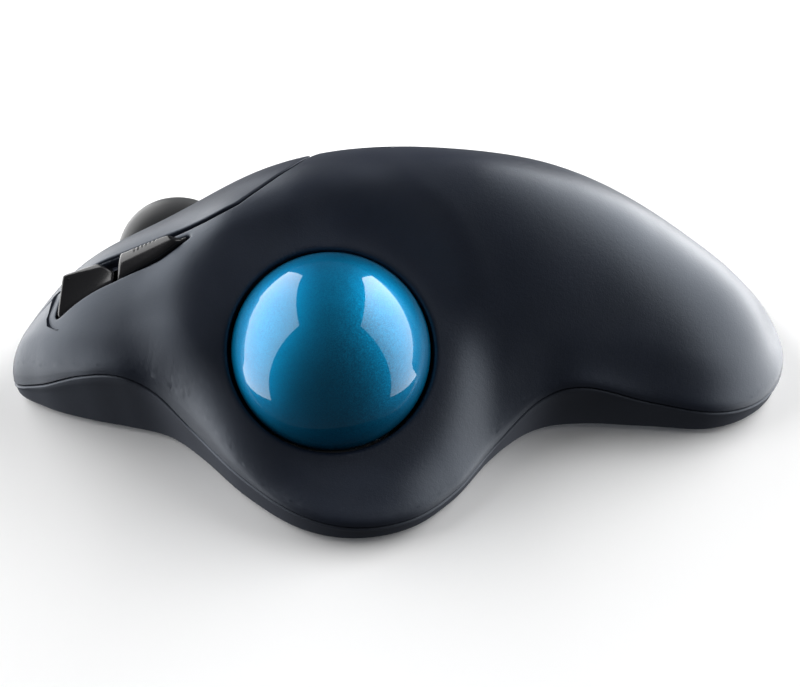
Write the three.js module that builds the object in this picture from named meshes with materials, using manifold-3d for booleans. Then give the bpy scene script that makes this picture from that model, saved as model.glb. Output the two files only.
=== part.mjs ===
// A right-handed wireless thumb trackball. Millimetres, +Z up, standing on its five feet at z = 0.
// The front (the clicking end) points to -X, the thumb side with the ball to -Y.
import * as THREE from "three";
import Module from "manifold-3d";

const wasm = await Module();
wasm.setup();
const { Manifold, CrossSection, Mesh } = wasm;

const root = new THREE.Group();

// ---------------------------------------------------------------- colours
const GRAPHITE = 0x343943;
const BLACK = 0x17181a;
const RUBBER = 0x2b2c2e;
const BLUE = 0x0a6fa8;
const STEEL = 0xb9bcc0;
const BRASS = 0xc9a24a;
const PCB = 0x1d5a37;
const SMOKED = 0x2a2f36;

// ---------------------------------------------------------------- main sizes
const GAP = 0.3; // between neighbouring pieces
const WALL = 2.1; // shell thickness
const BASE = 1.2; // underside of the case above the table
const FLOOR = 2.8; // inside of the case floor
const BALL_R = 17.45;
const BALL = [-12.1, -20.7, 21.9];
const OPENING_R = 18.0;
const SOCKET_AXIS = new THREE.Vector3(0.1, -0.61, 0.79).normalize();
const SOCKET_RISE = 1.8; // rim plane above the ball's centre
const COLLAR_FLAT = 19;
const COLLAR_END = 31;
const COLLAR_STRETCH = 8; // the collar fades out more slowly towards the clicking end
const SKIRT = 0.24; // how far the lower case leans in for each millimetre down

// Where the two halves of the case meet: x, y, z and how far in the edge above it rolls over.
const PARTING = [
  [-72.3, -7.0, 3.4, 3.5],
  [-66.2, -14.0, 8.2, 3.5],
  [-57.5, -19.0, 14.6, 4.0],
  [-50.0, -21.6, 16.9, 4.5],
  [-43.5, -23.3, 14.6, 5.5],
  [-37.0, -27.8, 10.2, 6.0],
  [-28.0, -37.2, 7.9, 6.0],
  [-18.0, -44.6, 6.0, 6.0],
  [-8.0, -46.9, 4.7, 6.0],
  [2.0, -44.3, 4.2, 6.0],
  [10.0, -37.1, 4.2, 6.0],
  [17.0, -27.3, 5.6, 6.0],
  [25.0, -21.1, 10.6, 6.0],
  [33.0, -19.6, 12.5, 6.0],
  [45.0, -19.4, 8.8, 6.0],
  [57.0, -19.5, 6.4, 6.0],
  [66.0, -14.6, 4.6, 6.0],
  [71.5, -6.0, 4.0, 6.0],
  [72.5, 4.0, 4.2, 6.0],
  [69.0, 17.0, 4.8, 6.0],
  [60.0, 30.0, 5.6, 6.0],
  [45.0, 40.0, 7.2, 6.0],
  [25.0, 46.0, 8.6, 6.0],
  [2.0, 47.5, 9.0, 6.0],
  [-20.0, 45.8, 8.2, 6.0],
  [-38.0, 41.0, 6.4, 5.0],
  [-51.0, 32.5, 4.6, 4.5],
  [-60.5, 20.0, 3.8, 4.0],
  [-68.0, 6.0, 3.4, 3.5],
];

// Heights the top of the case passes through: x, y, z.
const HEIGHTS = [
  [-70.5, -8, 12.5],
  [-71, -2, 9.5],
  [-66, -12, 16.5],
  [-66, -4, 17.5],
  [-66, 6, 12.5],
  [-57, -16.5, 20.5],
  [-57, -12, 25.0],
  [-57, -6, 27.5],
  [-57, 1, 25.5],
  [-57, 9, 19.6],
  [-56, 22, 10.0],
  [-45, -20, 22.5],
  [-45, -14, 29.3],
  [-45, -8, 32.0],
  [-45, -2, 33.2],
  [-45, 6, 30.0],
  [-45, 17, 22.0],
  [-45, 30, 12.5],
  [-34, -27, 20.0],
  [-31, -12, 34.0],
  [-30, -4, 38.8],
  [-30, 4, 38.8],
  [-30, 12, 35.5],
  [-30, 20, 30.0],
  [-30, 32, 19.5],
  [-30, 41, 12.0],
  [-25, -39, 9.2],
  [-10, -43, 7.4],
  [5, -40, 7.2],
  [-12, -4.5, 39.6],
  [-16, 3, 43.2],
  [-16, 12, 41.0],
  [-16, 20, 35.5],
  [-16, 32, 24.5],
  [-16, 43, 14.0],
  [0, -4, 41.2],
  [0, 2.5, 44.9],
  [1, 9, 43.9],
  [1, 18, 39.0],
  [1, 30, 28.0],
  [1, 43, 15.5],
  [14, -27, 11.0],
  [13, -6, 37.6],
  [14, -15, 25.5],
  [14, 2, 44.0],
  [14, 10, 43.0],
  [14, 18, 38.0],
  [26, -17, 19.5],
  [26, -11, 29.0],
  [26, -4, 37.2],
  [26, 3, 41.2],
  [26, 10, 40.2],
  [26, 18, 35.8],
  [26, 31, 24.0],
  [24, 42, 15.0],
  [41, -16, 16.5],
  [41, -10, 25.0],
  [41, -3, 32.0],
  [41, 4, 34.8],
  [41, 11, 33.0],
  [41, 20, 27.4],
  [41, 34, 15.5],
  [56, -16, 12.5],
  [56, -9, 19.0],
  [56, -2, 23.6],
  [56, 5, 24.2],
  [56, 13, 20.8],
  [56, 24, 13.5],
  [66, -11, 9.8],
  [66, -3, 14.5],
  [66, 5, 14.6],
  [66, 14, 10.6],
  [71, 0, 7.6],
];

// ---------------------------------------------------------------- the top surface
const SPAN = 50;
const SMOOTHING = 0.0002;

// Solves rows * unknowns = right-hand side by elimination with pivoting.
function solve(rows, rhs) {
  const n = rhs.length;
  for (let c = 0; c < n; c++) {
    let best = c;
    for (let r = c + 1; r < n; r++) {
      if (Math.abs(rows[r][c]) > Math.abs(rows[best][c])) best = r;
    }
    [rows[c], rows[best]] = [rows[best], rows[c]];
    [rhs[c], rhs[best]] = [rhs[best], rhs[c]];
    for (let r = c + 1; r < n; r++) {
      const k = rows[r][c] / rows[c][c];
      for (let j = c; j < n; j++) rows[r][j] -= k * rows[c][j];
      rhs[r] -= k * rhs[c];
    }
  }
  const out = new Array(n).fill(0);
  for (let r = n - 1; r >= 0; r--) {
    let sum = rhs[r];
    for (let j = r + 1; j < n; j++) sum -= rows[r][j] * out[j];
    out[r] = sum / rows[r][r];
  }
  return out;
}

// A smooth surface through the listed heights (cubic radial functions on a tilted plane).
const spots = HEIGHTS.map(([x, y]) => [x / SPAN, y / SPAN]);
const count = spots.length;
const rows = [];
for (let i = 0; i < count; i++) {
  const row = spots.map((p) => Math.hypot(spots[i][0] - p[0], spots[i][1] - p[1]) ** 3);
  row[i] += SMOOTHING;
  rows.push([...row, 1, ...spots[i]]);
}
rows.push([...spots.map(() => 1), 0, 0, 0]);
rows.push([...spots.map((p) => p[0]), 0, 0, 0]);
rows.push([...spots.map((p) => p[1]), 0, 0, 0]);
const weights = solve(rows, [...HEIGHTS.map((h) => h[2]), 0, 0, 0]);

const rimCentre = new THREE.Vector3(...BALL).addScaledVector(SOCKET_AXIS, SOCKET_RISE);

// Height of the top of the case, with the flat collar round the ball blended in.
function height(x, y) {
  const u = x / SPAN;
  const v = y / SPAN;
  let z = weights[count] + weights[count + 1] * u + weights[count + 2] * v;
  for (let i = 0; i < count; i++) {
    z += weights[i] * Math.hypot(u - spots[i][0], v - spots[i][1]) ** 3;
  }
  const dx = x - rimCentre.x;
  const dy = y - rimCentre.y;
  const dz = -(SOCKET_AXIS.x * dx + SOCKET_AXIS.y * dy) / SOCKET_AXIS.z;
  const away = Math.hypot(dx, dy, dz);
  const end = COLLAR_END + COLLAR_STRETCH * THREE.MathUtils.smoothstep(-dx, 4, 20);
  const t = THREE.MathUtils.clamp((away - COLLAR_FLAT) / (end - COLLAR_FLAT), 0, 1);
  const keep = 1 - t * t * t * (10 - 15 * t + 6 * t * t);
  return z + (rimCentre.z + dz - z) * keep;
}

// Height of a surface a given thickness below the top, measured square to it.
function under(x, y, thickness) {
  const step = 0.5;
  const gx = (height(x + step, y) - height(x - step, y)) / (2 * step);
  const gy = (height(x, y + step) - height(x, y - step)) / (2 * step);
  return height(x, y) - thickness * Math.sqrt(1 + Math.min(gx * gx + gy * gy, 2.5));
}

// ---------------------------------------------------------------- the outline
const STATIONS = 42;
const DENSE = 24;

// The parting line as a smooth closed curve, dense enough to look points up on it.
const curve = [];
for (let i = 0; i < PARTING.length; i++) {
  const at = (k) => PARTING[(i + k + PARTING.length) % PARTING.length];
  for (let s = 0; s < DENSE; s++) {
    const t = s / DENSE;
    curve.push(
      [0, 1, 2, 3].map((c) => {
        const [a, b, d, e] = [at(-1)[c], at(0)[c], at(1)[c], at(2)[c]];
        const linear = (d - a) * t;
        const square = (2 * a - 5 * b + 4 * d - e) * t * t;
        const cube = (3 * b - a - 3 * d + e) * t * t * t;
        return (2 * b + linear + square + cube) / 2;
      }),
    );
  }
}
const byX = (a, b) => a[0] - b[0];
const front = curve.indexOf([...curve].sort(byX)[0]);
const turned = [...curve.slice(front), ...curve.slice(0, front)];
const back = turned.indexOf([...turned].sort(byX).pop());
const thumbSide = turned.slice(0, back + 1);
const farSide = [...turned.slice(back), turned[0]].reverse();

function lookUp(side, x) {
  let i = side.findIndex((p) => p[0] >= x);
  i = i < 1 ? 1 : i;
  const [a, b] = [side[i - 1], side[i]];
  const t = THREE.MathUtils.clamp((x - a[0]) / (b[0] - a[0] || 1), 0, 1);
  return a.map((v, c) => v + (b[c] - v) * t);
}

// The ring: front tip, along the thumb side to the rear tip, back along the far side.
const tipX = [thumbSide[0][0], thumbSide[back][0]];
const stationX = (j) => {
  const even = j / STATIONS;
  const bunched = (1 - Math.cos(Math.PI * even)) / 2;
  return tipX[0] + (tipX[1] - tipX[0]) * (0.45 * even + 0.55 * bunched);
};
const outline = [thumbSide[0]];
for (let j = 1; j < STATIONS; j++) outline.push(lookUp(thumbSide, stationX(j)));
outline.push(thumbSide[back]);
for (let j = STATIONS - 1; j > 0; j--) outline.push(lookUp(farSide, stationX(j)));
const RING = outline.length;
const inward = outline.map((p, i) => {
  const a = outline[(i + RING - 1) % RING];
  const b = outline[(i + 1) % RING];
  const long = Math.hypot(b[0] - a[0], b[1] - a[1]);
  return [-(b[1] - a[1]) / long, (b[0] - a[0]) / long];
});

// The outline moved in by a distance, at a height; both may change along it.
function ring(distance, z) {
  return outline.map((p, i) => {
    const d = distance(p);
    const x = p[0] + inward[i][0] * d;
    const y = p[1] + inward[i][1] * d;
    return [x, y, z(p, x, y)];
  });
}

// ---------------------------------------------------------------- solids from rings
function solid(points, faces) {
  const make = (list) =>
    new Manifold(
      new Mesh({
        numProp: 3,
        vertProperties: new Float32Array(points.flat()),
        triVerts: new Uint32Array(list.flat()),
      }),
    );
  const made = make(faces);
  return made.volume() > 0 ? made : make(faces.map(([a, b, c]) => [a, c, b]));
}

// Closes one ring from the thumb side across to the far side, in strips along X.
function fill(points, faces, first, across, z, flip) {
  const face = (a, b, c) => faces.push(flip ? [a, c, b] : [a, b, c]);
  const lines = [];
  for (let j = 1; j < STATIONS; j++) {
    const left = first + j;
    const right = first + RING - j;
    const line = [left];
    for (let m = 1; m < across; m++) {
      const t = m / across;
      const x = points[left][0] * (1 - t) + points[right][0] * t;
      const y = points[left][1] * (1 - t) + points[right][1] * t;
      points.push([x, y, z(x, y)]);
      line.push(points.length - 1);
    }
    line.push(right);
    lines.push(line);
  }
  for (let m = 0; m < across; m++) {
    face(first, lines[0][m], lines[0][m + 1]);
    const last = lines[lines.length - 1];
    face(last[m], first + STATIONS, last[m + 1]);
    for (let j = 0; j < lines.length - 1; j++) {
      face(lines[j][m], lines[j + 1][m], lines[j + 1][m + 1]);
      face(lines[j][m], lines[j + 1][m + 1], lines[j][m + 1]);
    }
  }
}

// Rings stacked into one closed solid; the last one is closed with a height of its own.
function loft(rings, across, z) {
  const points = rings.flat();
  const faces = [];
  for (let r = 0; r < rings.length - 1; r++) {
    for (let i = 0; i < RING; i++) {
      const a = r * RING + i;
      const b = r * RING + ((i + 1) % RING);
      faces.push([a, b, b + RING]);
      faces.push([a, b + RING, a + RING]);
    }
  }
  fill(points, faces, 0, 1, z, true);
  fill(points, faces, (rings.length - 1) * RING, across, z, false);
  return solid(points, faces);
}

const ROLL = 2.4; // how square the rolled edge is
const ROLL_STEPS = 3;

// The whole case as one lump, moved in by an inset and with its top lowered by a thickness.
function lump(inset, thickness, bottom, chamfer) {
  const lean = (p) => inset + SKIRT * (p[2] - BASE);
  const topAt = (x, y) => (thickness ? under(x, y, thickness) : height(x, y));
  const rings = [
    ring((p) => lean(p) + chamfer, () => bottom),
    ring((p) => lean(p) - SKIRT * chamfer, () => bottom + chamfer),
    ring(() => inset, (p) => p[2]),
  ];
  for (let k = 1; k <= ROLL_STEPS; k++) {
    const turn = (Math.PI / 2) * (k / ROLL_STEPS);
    const up = Math.sin(turn) ** (2 / ROLL);
    const out = Math.cos(turn) ** (2 / ROLL);
    rings.push(
      ring(
        (p) => inset + Math.max(p[3] - inset * 0.8, 0.8) * (1 - out),
        (p, x, y) => p[2] + (topAt(x, y) - p[2]) * up,
      ),
    );
  }
  return loft(rings, 12, topAt);
}

const ABOVE = 90;
const BELOW = -20;

// Everything above (or below) the parting line moved up by a lift.
function half(lift, end) {
  const rings = [
    ring(() => -5, () => end),
    ring(() => -5, (p) => p[2] + lift),
    ring(() => 0, (p) => p[2] + lift),
    ring(() => 6, (p) => p[2] + lift),
  ];
  return loft(rings, 1, () => 0);
}

// ---------------------------------------------------------------- small shapes
const box = (x0, x1, y0, y1, z0, z1) =>
  Manifold.cube([x1 - x0, y1 - y0, z1 - z0]).translate([x0, y0, z0]);
const rod = (x, y, z0, z1, r, sides = 24, r2 = r) =>
  Manifold.cylinder(z1 - z0, r, r2, sides).translate([x, y, z0]);
const tube = (x, y, z0, z1, r, bore, sides = 24) =>
  rod(x, y, z0, z1, r, sides).subtract(rod(x, y, z0 - 1, z1 + 1, bore, sides));
const prism = (points, z0, z1) =>
  Manifold.extrude(CrossSection.ofPolygons([points]), z1 - z0).translate([0, 0, z0]);
const join = (...list) => Manifold.union(list);
const cut = (body, ...tools) => body.subtract(Manifold.union(tools));
// A flat pill: a box with rounded corners seen from above.
function pad(x0, x1, y0, y1, z0, z1, r) {
  const inner = CrossSection.square([x1 - x0 - 2 * r, y1 - y0 - 2 * r]);
  const shape = inner.offset(r, "Round", 2, 20).translate([x0 + r, y0 + r]);
  return Manifold.extrude(shape, z1 - z0).translate([0, 0, z0]);
}
// Turns a solid made along +Z so that it points along an axis from a point.
function aim(body, axis, from) {
  const turn = new THREE.Quaternion().setFromUnitVectors(new THREE.Vector3(0, 0, 1), axis);
  const matrix = new THREE.Matrix4().compose(
    new THREE.Vector3(...from),
    turn,
    new THREE.Vector3(1, 1, 1),
  );
  return body.transform(matrix.elements);
}

function add(name, body, color, roughness, metalness = 0) {
  const mesh = body.getMesh();
  const geometry = new THREE.BufferGeometry();
  const flat = new Float32Array(mesh.numVert * 3);
  for (let i = 0; i < mesh.numVert; i++) {
    for (let c = 0; c < 3; c++) flat[i * 3 + c] = mesh.vertProperties[i * mesh.numProp + c];
  }
  geometry.setAttribute("position", new THREE.BufferAttribute(flat, 3));
  geometry.setIndex(new THREE.BufferAttribute(mesh.triVerts, 1));
  geometry.computeVertexNormals();
  const material = new THREE.MeshStandardMaterial({ color, roughness, metalness });
  const node = new THREE.Mesh(geometry, material);
  node.name = name;
  root.add(node);
}

// ---------------------------------------------------------------- the case, before it is cut up
// The main piece of a cut, without any crumbs it leaves.
const whole = (body) => body.decompose().sort((a, b) => b.volume() - a.volume())[0];
const outside = lump(0, 0, BASE, 0.6);
const inside = lump(WALL, WALL, FLOOR, 0);
const caseWall = outside.subtract(inside);
const lowerHalf = whole(caseWall.intersect(half(-GAP / 2, BELOW)));
const upperHalf = whole(caseWall.intersect(half(GAP / 2, ABOVE)));

// Case screws: x, y and the height their tip reaches.
const SCREWS = [
  [-36, -18.5, 15],
  [27, -10, 16],
  [64.2, 0, 12.5],
  [12, 37, 14],
];
const POST_TOP = 7.6;
// Feet: x, y, radius.
const FEET = [
  [-59, -1, 4.6],
  [-40, 27, 4.6],
  [-8, -37.5, 4.8],
  [60, -10, 4.4],
  [36, 33, 4.8],
];

// ---------------------------------------------------------------- main buttons
// Seen from above: the seam along the thumb side, the V behind and the split between the two.
const SEAM = [
  [-80, -2.2],
  [-66, -4.4],
  [-60, -5.4],
  [-50, -4.9],
  [-42, -3.6],
  [-33, -3.0],
  [-28.8, -1.6],
  [-18.6, 7.4],
];
const VEE = [-15, 15];
const FAR_SEAM = [
  [-24, 31],
  [-35, 44],
  [-42, 55],
];
const SPLIT_FRONT = [-80, 14.5];
const leftPlan = [...SEAM, VEE, SPLIT_FRONT];
const rightPlan = [SPLIT_FRONT, VEE, ...FAR_SEAM, [-80, 55]];
const bothPlan = [...SEAM, VEE, ...FAR_SEAM, [-80, 55]];
const plan = (points) => {
  const area = CrossSection.ofPolygons([points]);
  return area.area() > 0 ? area : CrossSection.ofPolygons([[...points].reverse()]);
};
const column = (area) => Manifold.extrude(area, 80).translate([0, 0, -5]);
const leftArea = plan(leftPlan).offset(-GAP / 2, "Miter");
const rightArea = plan(rightPlan).offset(-GAP / 2, "Miter");
const bothArea = plan(bothPlan).offset(GAP / 2, "Miter");

// Scroll wheel: it leans with the buttons, so it has a tilted frame of its own.
const WHEEL = [-41.8, 11, 18.6];
const LEAN = -20;
const WHEEL_R = 11.6;
const WHEEL_HALF = 3.5;
const wheelFrame = (body) => body.rotate([LEAN, 0, 0]).translate(WHEEL);
// A solid of revolution about the wheel's own axle, from pairs of radius and offset.
const turnOnAxle = (profile, sides) =>
  Manifold.revolve(CrossSection.ofPolygons([profile]), sides).rotate([90, 0, 0]);
const wheelWell = wheelFrame(
  Manifold.cylinder(8.4, 12.4, 12.4, 48, true).rotate([90, 0, 0]),
);

const PRESS_ROOM = 1.3; // under the front lip of the buttons
const buttonSkin = caseWall.intersect(half(PRESS_ROOM, ABOVE));
const SWITCH_LEFT = [-55, -1.2];
const SWITCH_RIGHT = [-35, 24];
const BOARD_TOP = 6.1;
const SWITCH_TOP = 12.6;
const PLUNGER_TOP = 13.2;

// A clicking finger pad with its post over the switch.
function button(area, [px, py]) {
  const roof = under(px, py, WALL / 2);
  const post = rod(px, py, PLUNGER_TOP + GAP, roof, 1.8, 16);
  const plate = buttonSkin.intersect(column(area)).subtract(wheelWell);
  return join(plate, post);
}
const leftButton = button(leftArea, SWITCH_LEFT);
const rightButton = button(rightArea, SWITCH_RIGHT);

// ---------------------------------------------------------------- thumb buttons
const FORWARD_PLAN = [
  [-61.6, -10.9],
  [-50.9, -9.85],
  [-50.4, -6.05],
  [-60.2, -6.8],
];
const BACK_PLAN = [
  [-50.1, -9.75],
  [-42.3, -8.0],
  [-37.4, -5.95],
  [-37.9, -5.7],
  [-42.1, -5.45],
  [-49.7, -5.9],
];
const SLOT_PLAN = [
  [-62.0, -11.3],
  [-50.6, -10.2],
  [-42.2, -8.4],
  [-36.9, -5.95],
  [-37.2, -5.3],
  [-42.0, -5.05],
  [-49.0, -5.5],
  [-60.8, -6.4],
];
const KEY_DEPTH = 3.6;
// The front one is a wedge: a face that turns as it climbs from the thumb, a level
// edge behind its crease and a notch cut down beside its neighbour.
function forwardTop(x, y) {
  const ahead = x + 59.6;
  const across = y + 7.2;
  const face = 28.3 + 0.34 * ahead + (1.49 - 0.07 * ahead) * across;
  const level = 28.6 + 0.34 * ahead + 0.1 * across;
  const notch = 33.8 - 0.51 * ahead - 0.62 * across;
  return Math.min(face, level, notch);
}
// The rear one is a long taper: a face, a facet behind its crease and a falling point.
function backTop(x, y) {
  const ahead = x + 49.6;
  const across = y + 7.4;
  const face = 32.0 + 0.34 * ahead + 0.95 * across;
  const facet = 32.0 + 0.43 * ahead + 0.3 * across;
  const point = Math.max(36.1 - 0.3 * (ahead - 9.1), height(x, y) + 0.2);
  return Math.min(face, facet, point);
}
function key(points, top, postX, postBottom) {
  const flat = Manifold.extrude(plan(points), 1).refineToLength(0.9);
  const cap = flat.warp((p) => {
    p[2] = p[2] > 0.5 ? top(p[0], p[1]) : height(p[0], p[1]) - KEY_DEPTH;
  });
  const postY = -8.0;
  return join(cap, rod(postX, postY, postBottom, height(postX, postY) - 1.5, 0.8, 12));
}
const KEY_SWITCH_X = [-56, -45.5];
const KEY_BOARD = 12.4;
const KEY_SWITCH_TOP = 16.2;
const KEY_PLUNGER_TOP = 16.8;
const forwardKey = key(FORWARD_PLAN, forwardTop, KEY_SWITCH_X[0], KEY_PLUNGER_TOP + GAP);
const backKey = key(BACK_PLAN, backTop, KEY_SWITCH_X[1], KEY_PLUNGER_TOP + GAP);

// ---------------------------------------------------------------- upper case
const ballOpening = aim(
  Manifold.cylinder(30, OPENING_R, OPENING_R, 64).translate([0, 0, -4]),
  SOCKET_AXIS,
  BALL,
);
const keySlot = column(plan(SLOT_PLAN));
const bosses = SCREWS.map(([x, y, tip]) =>
  rod(x, y, POST_TOP + GAP, 45, 3.1, 20)
    .intersect(outside)
    .subtract(rod(x, y, 0, tip + 1, 1.35, 16)),
);
const upperShell = cut(
  join(upperHalf, ...bosses),
  ballOpening,
  keySlot,
  column(bothArea),
);
add("left_button", leftButton, GRAPHITE, 0.5);
add("right_button", rightButton, GRAPHITE, 0.5);
add("forward_button", forwardKey, BLACK, 0.25);
add("back_button", backKey, BLACK, 0.25);

// Status light: a small window in the palm just behind the V.
const LIGHT_PLAN = pad(-7.5, -1.5, 13.3, 15.7, 0, 60, 1.15);
const lightHole = pad(-7.8, -1.2, 13.0, 16.0, 0, 60, 1.4);
const lightPipe = LIGHT_PLAN.intersect(caseWall.intersect(box(-10, 2, 10, 20, 25, 60)));
add("upper_shell", cut(upperShell, lightHole.intersect(box(-10, 2, 10, 20, 25, 60))), GRAPHITE, 0.5);
add("status_light", lightPipe, SMOKED, 0.2);

// ---------------------------------------------------------------- trackball, its cup and its bearings
const CUP_IN = 18.0;
const CUP_OUT = 19.3;
const EJECT_R = 8;
const BEARING_R = 1.25;
const BEARING_AT = BALL_R + BEARING_R + 0.03;
const BEARING_DROP = THREE.MathUtils.degToRad(33);
const sphere = (r, [x, y, z], sides) => Manifold.sphere(r, sides).translate([x, y, z]);
const ballPoint = new THREE.Vector3(...BALL);
const across = new THREE.Vector3(1, 0, 0).cross(SOCKET_AXIS).normalize();
const along = SOCKET_AXIS.clone().cross(across);
// One of the three resting points: an angle round the socket axis, below the ball's middle.
function bearingPoint(turn) {
  const flat = Math.cos(BEARING_DROP) * BEARING_AT;
  return ballPoint
    .clone()
    .addScaledVector(SOCKET_AXIS, -Math.sin(BEARING_DROP) * BEARING_AT)
    .addScaledVector(along, Math.sin(turn) * flat)
    .addScaledVector(across, -Math.cos(turn) * flat)
    .toArray();
}
const bearings = [0, 1, 2].map((k) => bearingPoint((2 * Math.PI * k) / 3));
const SENSOR_AXIS = new THREE.Vector3(0.88, 0.4, -0.26).normalize();
const belowRim = aim(
  Manifold.cylinder(60, 40, 40, 48).translate([0, 0, -60.9]),
  SOCKET_AXIS,
  BALL,
);
const cupBody = join(
  sphere(CUP_OUT, BALL, 40),
  ...bearings.map((p) => sphere(2.6, p, 12)),
);
const cup = cut(
  cupBody.intersect(belowRim).intersect(inside).intersect(box(-60, 60, -60, 60, FLOOR + GAP, 60)),
  sphere(CUP_IN + 0.1, BALL, 40),
  rod(BALL[0], BALL[1], 0, 12, EJECT_R + 0.6, 40),
  ...bearings.map((p) => sphere(BEARING_R + 0.3, p, 12)),
  aim(Manifold.cylinder(30, 3.1, 3.1, 24), SENSOR_AXIS, BALL),
);
add("trackball", sphere(BALL_R, BALL, 52), BLUE, 0.12);
add("ball_cup", cup, BLACK, 0.55);
bearings.forEach((p, i) => add("ball_bearing_" + (i + 1), sphere(BEARING_R, p, 12), STEEL, 0.2, 0.6));

// The optical sensor looks at the ball through the cup: lens, chip and its own small board.
const sensor = (body) => aim(body, SENSOR_AXIS, BALL);
const lens = join(
  Manifold.cylinder(2.0, 2.7, 2.7, 24).translate([0, 0, 18.1]),
  Manifold.cylinder(1.2, 4.2, 4.2, 24).translate([0, 0, 20.0]),
);
add("sensor_lens", sensor(lens), 0xa7b0b8, 0.05);
const chip = Manifold.cube([9, 10, 2.4], true).translate([0, 0, 22.7]);
add("sensor_chip", sensor(chip), BLACK, 0.4);
const sensorBoard = Manifold.cube([13, 13, 1.2], true).translate([0, 0, 24.6]);
add("sensor_board", sensor(sensorBoard), PCB, 0.5);

// ---------------------------------------------------------------- lower case
// Battery bay, seen from above; the door closes it from below.
const CELL_R = 7.2;
const CELL = [12, 11.5]; // its axis: y and z
const CELL_X = [-14, 36.3];
const DOOR = [-16.5, 58, 2.2, 22.2];
const doorHole = pad(DOOR[0], DOOR[1], DOOR[2], DOOR[3], 0, FLOOR + 1, 3.5);
const doorPlate = pad(
  DOOR[0] + GAP, DOOR[1] - GAP, DOOR[2] + GAP, DOOR[3] - GAP, BASE, BASE + 1.4, 3.2,
);
const grip = [0, 1, 2, 3, 4].map((k) => box(47 + 1.8 * k, 48 + 1.8 * k, 7, 17, 0, BASE + 0.5));
add("battery_door", cut(doorPlate, ...grip), GRAPHITE, 0.5);

const SWITCH_SLOT = [-3, 7, 30.4, 34];
const posts = SCREWS.map(([x, y]) => rod(x, y, FLOOR - 0.5, POST_TOP, 3.4, 20));
const screwHoles = SCREWS.flatMap(([x, y]) => [rod(x, y, 0, 4.4, 2.75, 20), rod(x, y, 0, 20, 1.35, 16)]);
const standoffs = [
  [-60, 3],
  [-30, 12],
  [-40, 31],
  [-22, 34],
];
const boardPosts = standoffs.map(([x, y]) => rod(x, y, FLOOR - 0.5, 4.2, 1.8, 12));
const footHoles = FEET.map(([x, y, r]) => rod(x, y, 0, BASE + 0.6, r + GAP, 28));
const lowerShell = cut(
  join(lowerHalf, ...[...posts, ...boardPosts].map((p) => p.intersect(outside))),
  doorHole,
  rod(BALL[0], BALL[1], 0, 8, EJECT_R, 40),
  pad(SWITCH_SLOT[0], SWITCH_SLOT[1], SWITCH_SLOT[2], SWITCH_SLOT[3], 0, 6, 1),
  ...screwHoles,
  ...footHoles,
);
add("lower_shell", lowerShell, 0x2e323b, 0.5);
FEET.forEach(([x, y, r], i) => {
  const foot = join(rod(x, y, 0.3, 1.5, r, 28), rod(x, y, 0, 0.3, r - 0.3, 28, r));
  add("foot_" + (i + 1), foot, 0x0d0d0e, 0.7);
});
SCREWS.forEach(([x, y, tip], i) => {
  const cross = [box(x - 1.3, x + 1.3, y - 0.3, y + 0.3, 2.2, 3.2), box(x - 0.3, x + 0.3, y - 1.3, y + 1.3, 2.2, 3.2)];
  const screw = cut(join(rod(x, y, 2.4, 4.1, 2.4, 20), rod(x, y, 4.0, tip, 1.0, 12)), ...cross);
  add("case_screw_" + (i + 1), screw, STEEL, 0.35, 0.9);
});

// ---------------------------------------------------------------- battery bay
const TRAY_WALL = 1.1;
const TRAY_FLOOR = FLOOR + GAP;
const TRAY_CELL_TOP = 20.3;
const TRAY_END_TOP = 9.4;
const BAY_SPLIT = 38.6;
const trayOut = join(
  box(-18.2, BAY_SPLIT + TRAY_WALL, 1.2, 23.2, TRAY_FLOOR, TRAY_CELL_TOP),
  box(BAY_SPLIT, 57.6, 1.2, 23.2, TRAY_FLOOR, TRAY_END_TOP),
);
const trayIn = join(
  box(-18.2 + TRAY_WALL, BAY_SPLIT, 1.2 + TRAY_WALL, 23.2 - TRAY_WALL, 0, TRAY_CELL_TOP - TRAY_WALL),
  box(BAY_SPLIT - 1, 57.6 - TRAY_WALL, 1.2 + TRAY_WALL, 23.2 - TRAY_WALL, 0, TRAY_END_TOP - TRAY_WALL),
);
add("battery_tray", cut(trayOut, trayIn), BLACK, 0.6);
const lying = (body) => body.rotate([0, 90, 0]).translate([0, CELL[0], CELL[1]]);
const cell = join(
  lying(Manifold.cylinder(CELL_X[1] - CELL_X[0] - 1.3, CELL_R, CELL_R, 36).translate([0, 0, CELL_X[0]])),
  lying(Manifold.cylinder(1.4, 2.7, 2.7, 20).translate([0, 0, CELL_X[1] - 1.4])),
);
add("battery_cell", cell, BRASS, 0.35, 0.6);
const plate = box(37.0, 37.4, 6.5, 17.5, 5, 18);
add("battery_contact_plus", plate, STEEL, 0.3, 1);

// A coil spring standing on +Z between two heights.
function coil({ turns, from, to, wide, narrow, wire, steps, sides }) {
  const points = [];
  const faces = [];
  const total = Math.round(turns * steps);
  for (let i = 0; i <= total; i++) {
    const t = i / total;
    const turn = 2 * Math.PI * turns * t;
    const middle = wide + (narrow - wide) * t;
    const rise = from + wire + (to - from - 2 * wire) * t;
    for (let k = 0; k < sides; k++) {
      const around = (2 * Math.PI * k) / sides;
      const reach = middle + wire * Math.cos(around);
      points.push([reach * Math.cos(turn), reach * Math.sin(turn), rise + wire * Math.sin(around)]);
    }
  }
  for (let i = 0; i < total; i++) {
    for (let k = 0; k < sides; k++) {
      const a = i * sides + k;
      const b = i * sides + ((k + 1) % sides);
      faces.push([a, b, b + sides]);
      faces.push([a, b + sides, a + sides]);
    }
  }
  for (let k = 1; k < sides - 1; k++) {
    faces.push([0, k + 1, k]);
    faces.push([total * sides, total * sides + k, total * sides + k + 1]);
  }
  return solid(points, faces);
}
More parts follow.
